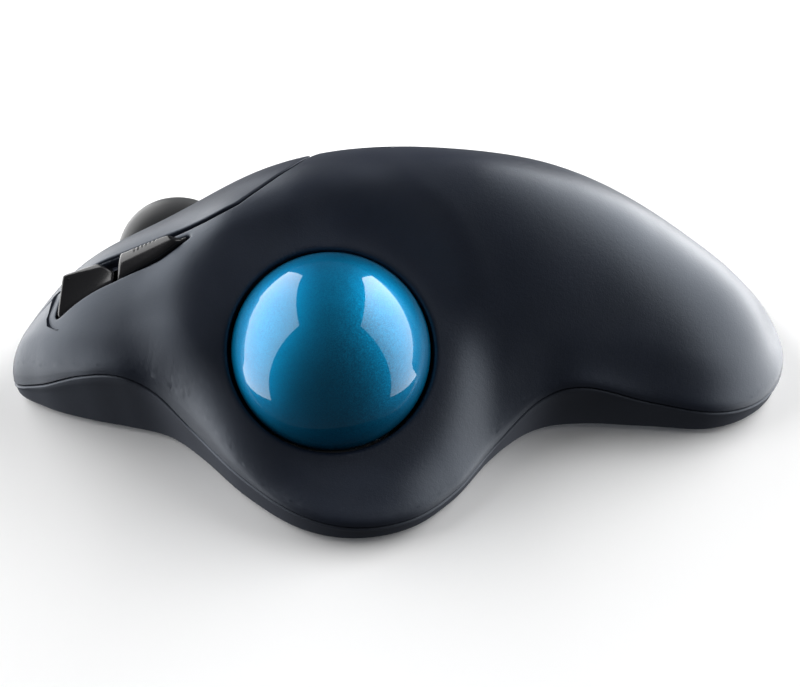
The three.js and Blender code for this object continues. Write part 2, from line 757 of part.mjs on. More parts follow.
// The one at the flat end of the cell.
const cellSpring = {
  turns: 2.6,
  from: -17.0,
  to: -14.4,
  wide: 5.0,
  narrow: 2.6,
  wire: 0.35,
  steps: 13,
  sides: 6,
};
add("battery_contact_spring", lying(coil(cellSpring)), STEEL, 0.3, 1);

// The radio receiver rides in the bay behind the cell.
const RECEIVER = [41, 55.6, 3.0, 7.9];
const receiver = pad(RECEIVER[0], RECEIVER[1], 14.9, 21.4, RECEIVER[2], RECEIVER[3], 1.6);
add("receiver_cap", receiver, BLACK, 0.45);
const plug = cut(
  box(42.3, 54.3, 3.2, 14.6, 3.2, 7.7),
  box(42.7, 53.9, 2, 12.5, 5.4, 7.3),
);
add("receiver_plug", plug, STEEL, 0.3, 1);

// ---------------------------------------------------------------- power switch
const knob = join(
  box(-2.6, 0.6, 30.8, 33.6, BASE - 0.2, FLOOR + 0.6),
  box(-5.2, 3.2, 29.8, 34.6, FLOOR + GAP, FLOOR + 1.3),
);
add("power_switch_knob", knob, BLACK, 0.5);
add("power_switch_body", box(-5.6, 8.2, 28.5, 35, 4.5, 7.4), BLACK, 0.5);

// ---------------------------------------------------------------- boards and click switches
const boardPlan = plan([
  [-62, -6],
  [-46, -12],
  [-38, -12.5],
  [-34.5, -3],
  [-20.5, 1],
  [-20.5, 26],
  [-16, 30],
  [-16, 37],
  [-40, 34.4],
  [-55, 22],
  [-62, 9],
]);
const boardHoles = [
  box(-49.5, -35.7, 3, 12.5, 3, 8),
  ...SCREWS.map(([x, y]) => rod(x, y, 3, 9, 3.8, 16)),
];
const board = cut(Manifold.extrude(boardPlan, 1.6).translate([0, 0, 4.5]), ...boardHoles);
add("main_board", board, PCB, 0.5);
add("controller_chip", box(-28, -22, 17, 23, BOARD_TOP + GAP, BOARD_TOP + 1.3), BLACK, 0.4);
function clickSwitch(name, x, y, halfX, halfY, bottom, top, plungerR, plungerTop) {
  const body = cut(
    box(x - halfX, x + halfX, y - halfY, y + halfY, bottom, top),
    rod(x, y, top - 1.9, top + 1, plungerR + GAP, 12),
  );
  add(name + "_switch", body, 0x222326, 0.45);
  add(name + "_plunger", rod(x, y, top - 0.9, plungerTop, plungerR, 12), 0xd8d2c2, 0.4);
}
const onBoard = BOARD_TOP + GAP;
clickSwitch("left", ...SWITCH_LEFT, 6.2, 2.9, onBoard, SWITCH_TOP, 1.2, PLUNGER_TOP);
clickSwitch("right", ...SWITCH_RIGHT, 6.2, 2.9, onBoard, SWITCH_TOP, 1.2, PLUNGER_TOP);
const keyBoard = box(-61.5, -40, -12.6, -5.2, KEY_BOARD, KEY_BOARD + 1.2);
const keyLegs = [rod(-60.5, -8, BOARD_TOP + GAP, KEY_BOARD, 0.9, 10), rod(-41, -8, BOARD_TOP + GAP, KEY_BOARD, 0.9, 10)];
add("thumb_button_board", join(keyBoard, ...keyLegs), PCB, 0.5);
["forward", "back"].forEach((name, i) => {
  const bottom = KEY_BOARD + 1.2 + GAP;
  clickSwitch(name, KEY_SWITCH_X[i], -8.3, 2.6, 2.6, bottom, KEY_SWITCH_TOP, 1.1, KEY_PLUNGER_TOP);
});

// ---------------------------------------------------------------- scroll wheel
const hubProfile = [
  [1.5, -3.0],
  [6.7, -3.0],
  [6.7, -2.6],
  [9.6, -2.6],
  [9.6, 2.6],
  [6.7, 2.6],
  [6.7, 3.0],
  [1.5, 3.0],
];
const tyreProfile = [
  [9.9, -2.9],
  [7.0, -2.9],
  [7.0, -WHEEL_HALF],
  [9.0, -3.35],
  [10.6, -2.6],
  [11.35, -1.5],
  [WHEEL_R, 0],
  [11.35, 1.5],
  [10.6, 2.6],
  [9.0, 3.35],
  [7.0, WHEEL_HALF],
  [7.0, 2.9],
  [9.9, 2.9],
];
add("scroll_wheel_hub", wheelFrame(turnOnAxle(hubProfile, 32)), BLACK, 0.4);
add("scroll_wheel_tyre", wheelFrame(turnOnAxle(tyreProfile, 40)), RUBBER, 0.6);
const axleRod = Manifold.cylinder(13.4, 1.1, 1.1, 16, true).rotate([90, 0, 0]).translate([0, 0.4, 0]);
add("scroll_wheel_axle", wheelFrame(axleRod), STEEL, 0.3, 0.9);
const rotorProfile = [
  [1.4, 6.0],
  [3.4, 6.0],
  [3.4, 6.9],
  [1.4, 6.9],
];
add("encoder_rotor", wheelFrame(turnOnAxle(rotorProfile, 24)), 0xd8d2c2, 0.4);
add("encoder_body", wheelFrame(box(-3.5, 3.5, -9.4, -7.4, -15, 1)), BLACK, 0.45);
// The carrier holds the axle and drops a little when the wheel is pressed.
function cheek(y0, y1) {
  const shape = join(
    box(-10.4, 11.2, y0, y1, -8.4, -5.2),
    box(-3.2, 3.2, y0, y1, -6, 1.8),
  );
  const bore = Manifold.cylinder(8, 1.4, 1.4, 20, true).rotate([90, 0, 0]);
  return shape.subtract(bore.translate([0, (y0 + y1) / 2, 0]));
}
const carrier = join(
  cheek(-5.3, -4.3),
  cheek(4.3, 5.3),
  box(-10.4, -9.4, -5.3, 5.3, -8.4, -7.2),
  box(10.2, 11.2, -5.3, 5.3, -7.4, -6.2),
  box(11.1, 15.5, -2.0, 2.0, -7.8, -6.2),
);
add("wheel_carrier", wheelFrame(carrier), BLACK, 0.5);
clickSwitch("wheel", -29.4, 8.3, 2.6, 2.6, onBoard, 9.4, 1.1, 10.5);
const wheelSpring = {
  turns: 3.5,
  from: 6.5,
  to: 10.2,
  wide: 1.5,
  narrow: 1.5,
  wire: 0.22,
  steps: 10,
  sides: 5,
};
add("wheel_spring", coil(wheelSpring).translate([-51.5, 8.0, 0]), STEEL, 0.3, 1);

export default root;
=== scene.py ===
"""A right-handed wireless thumb trackball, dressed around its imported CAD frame.

Shapes are worked out in millimetres and handed to Blender in metres. +X runs from the
nose, where the buttons click, to the palm; the thumb side with the ball faces -Y; and the
feet stand at z = 0.
"""

import math

import bmesh
import bpy
import numpy as np
from mathutils import Matrix, Vector
from mathutils.geometry import delaunay_2d_cdt


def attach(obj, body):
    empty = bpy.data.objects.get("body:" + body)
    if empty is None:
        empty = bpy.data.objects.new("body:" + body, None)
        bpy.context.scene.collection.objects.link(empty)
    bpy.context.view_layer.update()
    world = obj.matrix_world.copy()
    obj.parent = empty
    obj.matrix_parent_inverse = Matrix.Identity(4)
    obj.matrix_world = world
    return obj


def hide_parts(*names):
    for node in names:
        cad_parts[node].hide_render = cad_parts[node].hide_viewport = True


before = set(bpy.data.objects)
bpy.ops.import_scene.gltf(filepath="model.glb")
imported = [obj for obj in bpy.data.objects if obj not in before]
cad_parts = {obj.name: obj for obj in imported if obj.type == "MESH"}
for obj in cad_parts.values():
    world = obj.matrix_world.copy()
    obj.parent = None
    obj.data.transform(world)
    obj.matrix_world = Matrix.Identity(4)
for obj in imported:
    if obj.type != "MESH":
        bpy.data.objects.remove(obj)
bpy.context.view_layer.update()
MM = 0.001


def add_object(name, data):
    """Puts a mesh, light or camera in the scene."""
    obj = bpy.data.objects.new(name, data)
    bpy.context.scene.collection.objects.link(obj)
    return obj


# ------------ camera
CAMERA_TARGET = (0.0, -3.05, 9.0)
CAMERA_DISTANCE = 340.0
CAMERA_ELEVATION = math.radians(40)
CAMERA_LENS = 81.77
CAMERA_SENSOR = 36


def make_camera():
    data = bpy.data.cameras.new("camera")
    data.lens = CAMERA_LENS
    data.sensor_width = CAMERA_SENSOR
    data.clip_start = 10 * MM
    camera = add_object("camera", data)
    back = Vector((0, -math.cos(CAMERA_ELEVATION), math.sin(CAMERA_ELEVATION)))
    camera.location = (Vector(CAMERA_TARGET) + CAMERA_DISTANCE * back) * MM
    camera.rotation_euler = (math.pi / 2 - CAMERA_ELEVATION, 0, 0)
    bpy.context.scene.camera = camera


make_camera()

# ------------ sizes shared with the CAD
GAP = 0.3  # between neighbouring pieces
WALL = 2.1  # thickness of the case
BASE = 1.2  # underside of the case above the table
FLOOR = 2.8  # inside of the case's floor
SKIRT = 0.24  # how far the lower case leans in for each millimetre down
BALL_R = 17.45
BALL = np.array([-12.1, -20.7, 21.9])
OPENING_R = 18.0
SOCKET_AXIS = np.array([0.1, -0.61, 0.79])
SOCKET_AXIS /= np.linalg.norm(SOCKET_AXIS)
SOCKET_RISE = 1.8  # rim plane above the ball's centre
RIM_CENTRE = BALL + SOCKET_AXIS * SOCKET_RISE
COLLAR_FLAT = 19.0
COLLAR_END = 31.0
COLLAR_STRETCH = 8.0  # the collar fades out more slowly towards the nose
STRETCH_FROM, STRETCH_OVER = 4.0, 16.0  # where that starts, ahead of the ball, and its run

# Where the halves of the case meet: x, y, z and how far in the edge above rolls over.
PARTING = [
    (-72.3, -7, 3.4, 3.5), (-66.2, -14, 8.2, 3.5), (-57.5, -19, 14.6, 4),
    (-50, -21.6, 16.9, 4.5), (-43.5, -23.3, 14.6, 5.5), (-37, -27.8, 10.2, 6),
    (-28, -37.2, 7.9, 6), (-18, -44.6, 6, 6), (-8, -46.9, 4.7, 6),
    (2, -44.3, 4.2, 6), (10, -37.1, 4.2, 6), (17, -27.3, 5.6, 6),
    (25, -21.1, 10.6, 6), (33, -19.6, 12.5, 6), (45, -19.4, 8.8, 6),
    (57, -19.5, 6.4, 6), (66, -14.6, 4.6, 6), (71.5, -6, 4, 6),
    (72.5, 4, 4.2, 6), (69, 17, 4.8, 6), (60, 30, 5.6, 6),
    (45, 40, 7.2, 6), (25, 46, 8.6, 6), (2, 47.5, 9, 6),
    (-20, 45.8, 8.2, 6), (-38, 41, 6.4, 5), (-51, 32.5, 4.6, 4.5),
    (-60.5, 20, 3.8, 4), (-68, 6, 3.4, 3.5),
]

# Places that the top of the case passes close to: x, y, z.
HEIGHTS = [
    (-70.5, -8, 12.5), (-71, -2, 9.5), (-66, -12, 16.5), (-66, -4, 17.5), (-66, 6, 12.5),
    (-57, -16.5, 20.5), (-57, -12, 25.0), (-57, -6, 27.5), (-57, 1, 25.5), (-57, 9, 19.6),
    (-56, 22, 10.0), (-45, -20, 22.5), (-45, -14, 29.3), (-45, -8, 32.0), (-45, -2, 33.2),
    (-45, 6, 30.0), (-45, 17, 22.0), (-45, 30, 12.5), (-34, -27, 20.0), (-31, -12, 34.0),
    (-30, -4, 38.8), (-30, 4, 38.8), (-30, 12, 35.5), (-30, 20, 30.0), (-30, 32, 19.5),
    (-30, 41, 12.0), (-25, -39, 9.2), (-10, -43, 7.4), (5, -40, 7.2), (-12, -4.5, 39.6),
    (-16, 3, 43.2), (-16, 12, 41.0), (-16, 20, 35.5), (-16, 32, 24.5), (-16, 43, 14.0),
    (0, -4, 41.2), (0, 2.5, 44.9), (1, 9, 43.9), (1, 18, 39.0), (1, 30, 28.0), (1, 43, 15.5),
    (14, -27, 11.0), (13, -6, 37.6), (14, -15, 25.5), (14, 2, 44.0), (14, 10, 43.0),
    (14, 18, 38.0), (26, -17, 19.5), (26, -11, 29.0), (26, -4, 37.2), (26, 3, 41.2),
    (26, 10, 40.2), (26, 18, 35.8), (26, 31, 24.0), (24, 42, 15.0), (41, -16, 16.5),
    (41, -10, 25.0), (41, -3, 32.0), (41, 4, 34.8), (41, 11, 33.0), (41, 20, 27.4),
    (41, 34, 15.5), (56, -16, 12.5), (56, -9, 19.0), (56, -2, 23.6), (56, 5, 24.2),
    (56, 13, 20.8), (56, 24, 13.5), (66, -11, 9.8), (66, -3, 14.5), (66, 5, 14.6),
    (66, 14, 10.6), (71, 0, 7.6),
]

# ------------ the skin of the case
SPAN = 50.0  # unit of length in the fit
SMOOTHING = 0.0002  # how loosely the top follows HEIGHTS
SHOULDER_MIDDLE = (-26.4, -4.9)
SHOULDER_WAY = (0.953, 0.302)  # the direction in which the crease runs
SHOULDER_RISE = 0.6
SHOULDER_FALL = 3.0  # how far from the crease the rise dies away
SHOULDER_SOFT = 0.6
SHOULDER_AHEAD, SHOULDER_HALF, SHOULDER_FADE = 2.0, 13.0, 8.0  # its middle, reach and run-out
ROLL = 2.4  # how square the rolled edge is
EDGE_LIFT = 0.3  # where the upper skin starts above the parting line
LEAST_ROLL = 2.2  # height of the lowest part of the rolled edge
ROLL_BLEND = 1.2


def fit_heights():
    """Weights of cubic radial functions on a tilted plane that follow HEIGHTS."""
    spots = np.array([(x, y) for x, y, _ in HEIGHTS]) / SPAN
    n = len(spots)
    away = np.linalg.norm(spots[:, None] - spots[None], axis=2)
    rows = np.zeros((n + 3, n + 3))
    rows[:n, :n] = away**3 + SMOOTHING * np.eye(n)
    rows[:n, n] = 1
    rows[:n, n + 1 :] = spots
    rows[n, :n] = 1
    rows[n + 1 :, :n] = spots.T
    return spots, np.linalg.solve(rows, np.array([h[2] for h in HEIGHTS] + [0, 0, 0]))


SPOTS, WEIGHTS = fit_heights()


def ease(t):
    """A smooth step from 0 to 1."""
    t = np.clip(t, 0, 1)
    return t * t * (3 - 2 * t)


def shoulder(xy):
    """The crease where the top turns down towards the thumb, behind the thumb buttons."""
    x, y = (xy - SHOULDER_MIDDLE).T
    way_x, way_y = SHOULDER_WAY
    across, along = way_x * y - way_y * x, way_x * x + way_y * y
    fade = ease((SHOULDER_HALF - np.abs(along - SHOULDER_AHEAD)) / SHOULDER_FADE)
    away = np.hypot(across, SHOULDER_SOFT) - SHOULDER_SOFT
    return SHOULDER_RISE * fade * np.exp(-away / SHOULDER_FALL)


def rim_place(xy):
    """Offsets from the middle of the ball's opening of the places on its plane above xy."""
    dx, dy = xy[:, 0] - RIM_CENTRE[0], xy[:, 1] - RIM_CENTRE[1]
    dz = -(SOCKET_AXIS[0] * dx + SOCKET_AXIS[1] * dy) / SOCKET_AXIS[2]
    return dx, dz, np.sqrt(dx * dx + dy * dy + dz * dz)


def height(xy):
    """Height of the top of the case, with the flat collar round the ball blended in."""
    q = xy / SPAN
    n = len(SPOTS)
    z = WEIGHTS[n] + q @ WEIGHTS[n + 1 :]
    for spot, weight in zip(SPOTS, WEIGHTS):
        z = z + weight * np.hypot(q[:, 0] - spot[0], q[:, 1] - spot[1]) ** 3
    dx, dz, away = rim_place(xy)
    end = COLLAR_END + COLLAR_STRETCH * ease((-dx - STRETCH_FROM) / STRETCH_OVER)
    t = np.clip((away - COLLAR_FLAT) / (end - COLLAR_FLAT), 0, 1)
    keep = 1 - t * t * t * (10 - 15 * t + 6 * t * t)
    return z + (RIM_CENTRE[2] + dz - z) * keep + shoulder(xy)


def smooth_loop(points, per_span):
    """A closed smooth curve through the points."""
    p = np.array(points, float)
    a, b, c, d = (np.roll(p, k, 0)[:, None] for k in (1, 0, -1, -2))
    t = (np.arange(per_span) / per_span)[None, :, None]
    out = 0.5 * (
        2 * b + (c - a) * t + (2 * a - 5 * b + 4 * c - d) * t**2 + (3 * b - a - 3 * c + d) * t**3
    )
    return out.reshape(-1, p.shape[1])


def even_loop(points, spacing):
    """The same closed curve with evenly spaced points."""
    closed = np.vstack([points, points[:1]])
    steps = np.linalg.norm(np.diff(closed[:, :2], axis=0), axis=1)
    length = np.r_[0, np.cumsum(steps)]
    count = max(8, int(round(length[-1] / spacing)))
    want = np.arange(count) * length[-1] / count
    return np.stack([np.interp(want, length, closed[:, c]) for c in range(closed.shape[1])], 1)


def inward_normals(loop):
    """Unit directions into a counter-clockwise loop."""
    along = np.roll(loop[:, :2], -1, 0) - np.roll(loop[:, :2], 1, 0)
    along /= np.linalg.norm(along, axis=1)[:, None]
    return np.stack([-along[:, 1], along[:, 0]], 1)


OUTLINE = even_loop(smooth_loop(PARTING, 24), 1.0)
INWARD = inward_normals(OUTLINE)


def nearest(xy, loop):
    """Distance of each point to a loop, and the loop's own values at the nearest place."""
    best = np.full(len(xy), 1e9)
    values = np.zeros((len(xy), loop.shape[1]))
    for p, q in zip(loop, np.roll(loop, -1, 0)):
        step = q[:2] - p[:2]
        t = np.clip((xy - p[:2]) @ step / max(step @ step, 1e-12), 0, 1)
        away = np.hypot(*(xy - p[:2] - t[:, None] * step).T)
        closer = away < best
        best[closer] = away[closer]
        values[closer] = p + t[closer, None] * (q - p)
    return best, values


def inside(xy, loop):
    """Whether each point lies in a closed loop."""
    x, y = xy[:, 0], xy[:, 1]
    found = np.zeros(len(xy), bool)
    for (ax, ay), (bx, by) in zip(loop[:, :2], np.roll(loop[:, :2], -1, 0)):
        if ay == by:
            continue
        crosses = ((ay > y) != (by > y)) & (x < (bx - ax) * (y - ay) / (by - ay) + ax)
        found ^= crosses
    return found


def skin(xy):
    """Height of the finished outside of the upper case."""
    away, at = nearest(xy, OUTLINE)
    foot = at[:, 2] + EDGE_LIFT
    left = 1 - np.clip(away / at[:, 3], 0, 1)
    rise = (1 - left**ROLL) ** (1 / ROLL)
    spare = (height(xy) - foot - LEAST_ROLL) / ROLL_BLEND
    above = LEAST_ROLL + ROLL_BLEND * np.logaddexp(0, spare)
    return foot + above * rise


# ------------ loops seen from above
def filleted(points, radius, spacing=0.5):
    """A closed polygon with rounded corners; radius may be one number or one per corner."""
    p = np.array(points, float)
    n = len(p)
    radii = [radius] * n if np.isscalar(radius) else radius
    out = []
    for i in range(n):
        before, here, after = p[i - 1], p[i], p[(i + 1) % n]
        u, v = before - here, after - here
        reach = min(np.linalg.norm(u), np.linalg.norm(v)) * 0.48
        u, v = u / np.linalg.norm(u), v / np.linalg.norm(v)
        half = math.acos(np.clip(u @ v, -1, 1)) / 2
        cut = min(radii[i] / max(math.tan(half), 1e-6), reach)
        if cut < 1e-4:
            out.append(here)
            continue
        start, end = here + u * cut, here + v * cut
        for t in np.linspace(0, 1, 7):
            out.append((1 - t) ** 2 * start + 2 * t * (1 - t) * here + t * t * end)
    return even_loop(np.array(out), spacing)


def counter_clockwise(loop):
    """The same loop, running counter-clockwise seen from above."""
    x, y = loop[:, 0], loop[:, 1]
    area = np.sum(x * np.roll(y, -1) - np.roll(x, -1) * y)
    return loop if area > 0 else loop[::-1]


def shrunk(loop, distance):
    """A loop moved inwards (or outwards, when negative)."""
    return loop[:, :2] + inward_normals(loop) * distance


def pill(x0, x1, y0, y1, radius, spacing=0.5):
    return counter_clockwise(filleted([(x0, y0), (x1, y0), (x1, y1), (x0, y1)], radius, spacing))


def circle(x, y, radius, count=48):
    turn = np.linspace(0, 2 * math.pi, count, endpoint=False)
    return np.stack([x + radius * np.cos(turn), y + radius * np.sin(turn)], 1)


def round_corner(*degrees):
    """Sines and cosines of the angles passed on the way round an edge."""
    return [(math.sin(math.radians(d)), math.cos(math.radians(d))) for d in degrees]


# ------------ meshes
def smooth_faces(mesh):
    mesh.polygons.foreach_set("use_smooth", [True] * len(mesh.polygons))


def grid_points(step, low, high):
    xs = np.arange(low[0], high[0], step)
    ys = np.arange(low[1], high[1], step * 0.87)
    x, y = np.meshgrid(xs, ys)
    x = x + (np.arange(len(ys)) % 2)[:, None] * step / 2
    return np.stack([x.ravel(), y.ravel()], 1)


def triangulate(loops, scattered):
    """Constrained triangles through every loop and every scattered point."""
    points = []
    edges = []
    for loop in loops:
        first = len(points)
        points += [Vector((x, y)) for x, y in loop[:, :2]]
        count = len(loop)
        edges += [(first + i, first + (i + 1) % count) for i in range(count)]
    points += [Vector((x, y)) for x, y in scattered]
    verts, _, faces, *_ = delaunay_2d_cdt(points, edges, [], 0, 1e-4)
    xy = np.array([(v.x, v.y) for v in verts])
    tris = np.array([f for f in faces if len(f) == 3])
    return xy, tris


def circle_rows(centre, across, along, radii, count):
    """Points on circles of several radii in a plane."""
    turn = np.linspace(0, 2 * math.pi, count, endpoint=False)[:, None]
    return [centre + r * (np.cos(turn) * across + np.sin(turn) * along) for r in radii]


def edge_drop(away, radius):
    """How far a rounded edge falls at a distance from the edge."""
    short = np.clip(radius - away, 0, radius)
    return radius - np.sqrt(np.maximum(radius * radius - short * short, 0))


WELD = 0.002  # points nearer than this are one


class Shape:
    """Rings, bands and plates that are welded into one closed piece."""

    def __init__(self):
        self.verts = []
        self.faces = []

    def ring(self, points):
        first = len(self.verts)
        self.verts += [tuple(p) for p in points]
        return list(range(first, len(self.verts)))

    def flat_ring(self, loop, z):
        z = np.broadcast_to(z, len(loop))
        return self.ring(np.column_stack([loop[:, :2], z]))

    def band(self, a, b):
        n = len(a)
        self.faces += [(a[i], a[(i + 1) % n], b[(i + 1) % n], b[i]) for i in range(n)]

    def bands(self, rings):
        for a, b in zip(rings, rings[1:]):
            self.band(a, b)

    def cap(self, ring):
        self.faces.append(tuple(ring))

    def mesh_part(self, verts, faces):
        first = len(self.verts)
        self.verts += [tuple(v) for v in verts]
        self.faces += [tuple(first + i for i in f) for f in faces]

    def plate(self, outer, holes, z):
        """A flat plate with holes."""
        xy, tris = triangulate([outer, *holes], np.zeros((0, 2)))
        middle = xy[tris].mean(1)
        kept = inside(middle, outer)
        for hole in holes:
            kept &= ~inside(middle, hole)
        self.mesh_part(np.column_stack([xy, np.full(len(xy), z)]), tris[kept])

    def build(self, name, sharp=40, weld=True):
        mesh = bpy.data.meshes.new(name)
        verts = [tuple(v) for v in np.asarray(self.verts) * MM]
        mesh.from_pydata(verts, [], [tuple(f) for f in self.faces])
        mesh.validate()
        mesh.update()
        work = bmesh.new()
        work.from_mesh(mesh)
        if weld:
            bmesh.ops.remove_doubles(work, verts=work.verts, dist=WELD * MM)
            bmesh.ops.dissolve_degenerate(work, edges=work.edges, dist=WELD / 4 * MM)
        loose = [v for v in work.verts if not v.link_faces]
        bmesh.ops.delete(work, geom=loose, context="VERTS")
        bmesh.ops.recalc_face_normals(work, faces=work.faces)
        work.to_mesh(mesh)
        work.free()
        smooth_faces(mesh)
        mesh.set_sharp_from_angle(angle=math.radians(sharp))
        return add_object(name, mesh)


def vertex_normals(verts, tris):
    a, b, c = (verts[tris[:, k]] for k in range(3))
    face = np.cross(b - a, c - a)
    normals = np.zeros_like(verts)
    for k in range(3):
        np.add.at(normals, tris[:, k], face)
    return normals / np.maximum(np.linalg.norm(normals, axis=1), 1e-12)[:, None]


ROWS = (0.07, 0.18, 0.34, 0.6)  # rows of points beside every edge
CLEAR_OF_ROWS = 0.75  # the grid of scattered points starts this far from an edge
GRID = 0.7  # spacing of those points
ON_LOOP = 0.02  # points nearer than this lie on the outline
THINNEST = 0.1  # a panel beside the outline is no thinner than this


def turned_up(xy, tris):
    """The triangles with their corners in counter-clockwise order."""
    a, b, c = (xy[tris[:, k]] for k in range(3))
    area = (b[:, 0] - a[:, 0]) * (c[:, 1] - a[:, 1]) - (b[:, 1] - a[:, 1]) * (c[:, 0] - a[:, 0])
    tris[area < 0] = tris[area < 0][:, ::-1]
    return tris


def gap_to(xy, loops):
    """Distance of each point to the nearest of some loops."""
    return np.min([nearest(xy, loop)[0] for loop in loops], axis=0)


def plan_mesh(edges, keep, extra, grid):
    """Points and triangles of a panel seen from above."""
    loops = [loop for loop, _ in edges]
    rows = [np.asarray(e, float)[:, :2] for e in extra]
    for loop, radius in edges:
        for away in (*ROWS, radius):
            rows += [shrunk(loop, away), shrunk(loop, -away)]
    near = np.vstack(rows)
    near = near[(gap_to(near, loops) > 0.05) & keep(near)]
    field = grid_points(grid, near.min(0) - 1, near.max(0) + 1)
    field = field[keep(field)]
    field = field[gap_to(field, loops) > CLEAR_OF_ROWS]
    xy, tris = triangulate(loops, np.vstack([near, field]))
    tris = tris[keep(xy[tris].mean(1))]
    used = np.unique(tris)
    renumber = np.full(len(xy), -1)
    renumber[used] = np.arange(len(used))
    xy, tris = xy[used], renumber[tris]
    return xy, turned_up(xy, tris)


def open_edges(tris):
    """The directed edges that only one triangle has."""
    found = {}
    for t in tris:
        for i, j in ((t[0], t[1]), (t[1], t[2]), (t[2], t[0])):
            found[(i, j)] = True
    return [(i, j) for i, j in found if (j, i) not in found]


def panel(
    name, edges, keep, surface, wall, thickness, extra=(), grid=GRID, room=0.15, upright=0
):
    """A piece of skin seen from above, with rounded edges, walls and an inner side.

    edges are (loop, radius) pairs; surface gives places for points seen from above;
    wall gives the direction and depth in which the skin's edge is drawn out;
    within upright of an edge the inner side comes to lie straight under the skin.
    """
    xy, tris = plan_mesh(edges, keep, extra, grid)
    outer = surface(xy)
    inner = outer - vertex_normals(outer, tris) * thickness
    if upright:
        gap = gap_to(xy, [loop for loop, radius in edges if radius])
        inner[:, :2] = xy + (inner[:, :2] - xy) * np.clip(gap / upright, 0, 1)[:, None]
    away, at = nearest(xy, OUTLINE)
    at_rim = away < ON_LOOP
    inner[at_rim, :2] = xy[at_rim] + inward_at(xy[at_rim]) * thickness
    inner[at_rim, 2] = outer[at_rim, 2]
    inner[:, 2] = np.maximum(inner[:, 2], np.minimum(at[:, 2] + room, outer[:, 2] - THINNEST))
    shape = Shape()
    shape.mesh_part(outer, tris)
    shape.mesh_part(inner, tris[:, ::-1])
    border = open_edges(tris)
    rim = sorted({i for pair in border for i in pair})
    place = {v: k for k, v in enumerate(rim)}
    into = np.zeros_like(xy)
    for i, j in border:
        along = xy[j] - xy[i]
        into[[i, j]] += np.array([-along[1], along[0]]) / (np.linalg.norm(along) + 1e-9)
    into /= np.linalg.norm(into, axis=1, keepdims=True) + 1e-9
    levels = wall(xy[rim], outer[rim], into[rim])
    total = len(outer)
    starts = []
    for level in levels:
        starts.append(len(shape.verts))
        shape.verts += [tuple(p) for p in level]
    for i, j in border:
        chain_i = [i, *(s + place[i] for s in starts), total + i]
        chain_j = [j, *(s + place[j] for s in starts), total + j]
        for k in range(len(chain_i) - 1):
            shape.faces.append((chain_j[k], chain_i[k], chain_i[k + 1], chain_j[k + 1]))
    return shape.build(name, weld=False)


# ------------ lines that divide the top
SEAM = [
    (-80, -2.2), (-66, -4.4), (-60, -5.4), (-50, -4.9),
    (-42, -3.6), (-33, -3.0), (-28.8, -1.6), (-18.6, 7.4),
]
VEE = (-15, 15)
FAR_SEAM = [(-24, 31), (-35, 44), (-42, 55)]
SPLIT_FRONT = (-80, 14.5)
SEAM_BENDS = [0.0, 30, 14, 30, 40, 20, 1.4, 12]
LEFT = counter_clockwise(filleted([*SEAM, VEE, SPLIT_FRONT], [*SEAM_BENDS, 3, 0]))
RIGHT = counter_clockwise(
    filleted([SPLIT_FRONT, VEE, *FAR_SEAM, (-80, 55)], [0, 3, 20, 30, 0, 0])
)
BOTH = counter_clockwise(
    filleted([*SEAM, VEE, *FAR_SEAM, (-80, 55)], [*SEAM_BENDS, 4, 20, 30, 0, 0])
)
SEAM_GAP = 0.55  # across the seam between the buttons and the case

LEAN = math.radians(-20)  # of the wheel, away from the thumb
WHEEL = np.array([-41.8, 11.0, 18.6])
WHEEL_ACROSS = np.array([0, math.cos(LEAN), math.sin(LEAN)])
WHEEL_UP = np.array([0, -math.sin(LEAN), math.cos(LEAN)])
WELL_R = 12.4
WELL_HALF = 4.2
WELL_SQUARE, WELL_FLAT = 10, 40  # how square the well's corners are, across and along


def wheel_well():
    """The slot where the leaning wheel well comes out of the skin."""
    start = np.array([WHEEL[0], WHEEL[1] + 4.5])
    turn = np.linspace(0, 2 * math.pi, 160, endpoint=False)
    away = np.stack([np.cos(turn), np.sin(turn)], 1)
    low, high = np.zeros(len(turn)), np.full(len(turn), 16.0)
    for _ in range(26):
        reach = (low + high) / 2
        xy = start + away * reach[:, None]
        rel = np.column_stack([xy, skin(xy)]) - WHEEL
        across = np.abs(rel @ WHEEL_ACROSS) / WELL_HALF
        radial = np.hypot(rel[:, 0], rel @ WHEEL_UP) / WELL_R
        out = across**WELL_SQUARE + radial**WELL_FLAT > 1
        high = np.where(out, reach, high)
        low = np.where(out, low, reach)
    return counter_clockwise(even_loop(start + away * low[:, None], 0.45))


WELL = wheel_well()

AXIS_ACROSS = np.cross([1, 0, 0], SOCKET_AXIS)
AXIS_ACROSS /= np.linalg.norm(AXIS_ACROSS)
AXIS_ALONG = np.cross(SOCKET_AXIS, AXIS_ACROSS)
RIM_STEPS = (0.0, 0.06, 0.16, 0.32, 0.55, 0.85, 1.3, 2.0)
RIM_RINGS = circle_rows(
    RIM_CENTRE, AXIS_ALONG, AXIS_ACROSS, [OPENING_R + step for step in RIM_STEPS], 150
)
OPENING = counter_clockwise(RIM_RINGS[0][:, :2])
RIM_ROUND = 0.9

SLOT_PLAN = [
    (-62, -11.3), (-50.6, -10.2), (-42.2, -8.4), (-36.9, -5.95),
    (-37.2, -5.3), (-42, -5.05), (-49, -5.5), (-60.8, -6.4),
]
SLOT = counter_clockwise(filleted(SLOT_PLAN, [0.9, 6, 6, 0.35, 0.35, 6, 6, 0.9], 0.4))
LIGHT_HOLE = pill(-7.8, -1.2, 13.0, 16.0, 1.4, 0.3)

ROLL_TURNS = (7, 14, 22, 31, 41, 52, 64, 77, 90)
ROW_SLACK = 0.04  # points nearer the outline than their row by more than this are left out


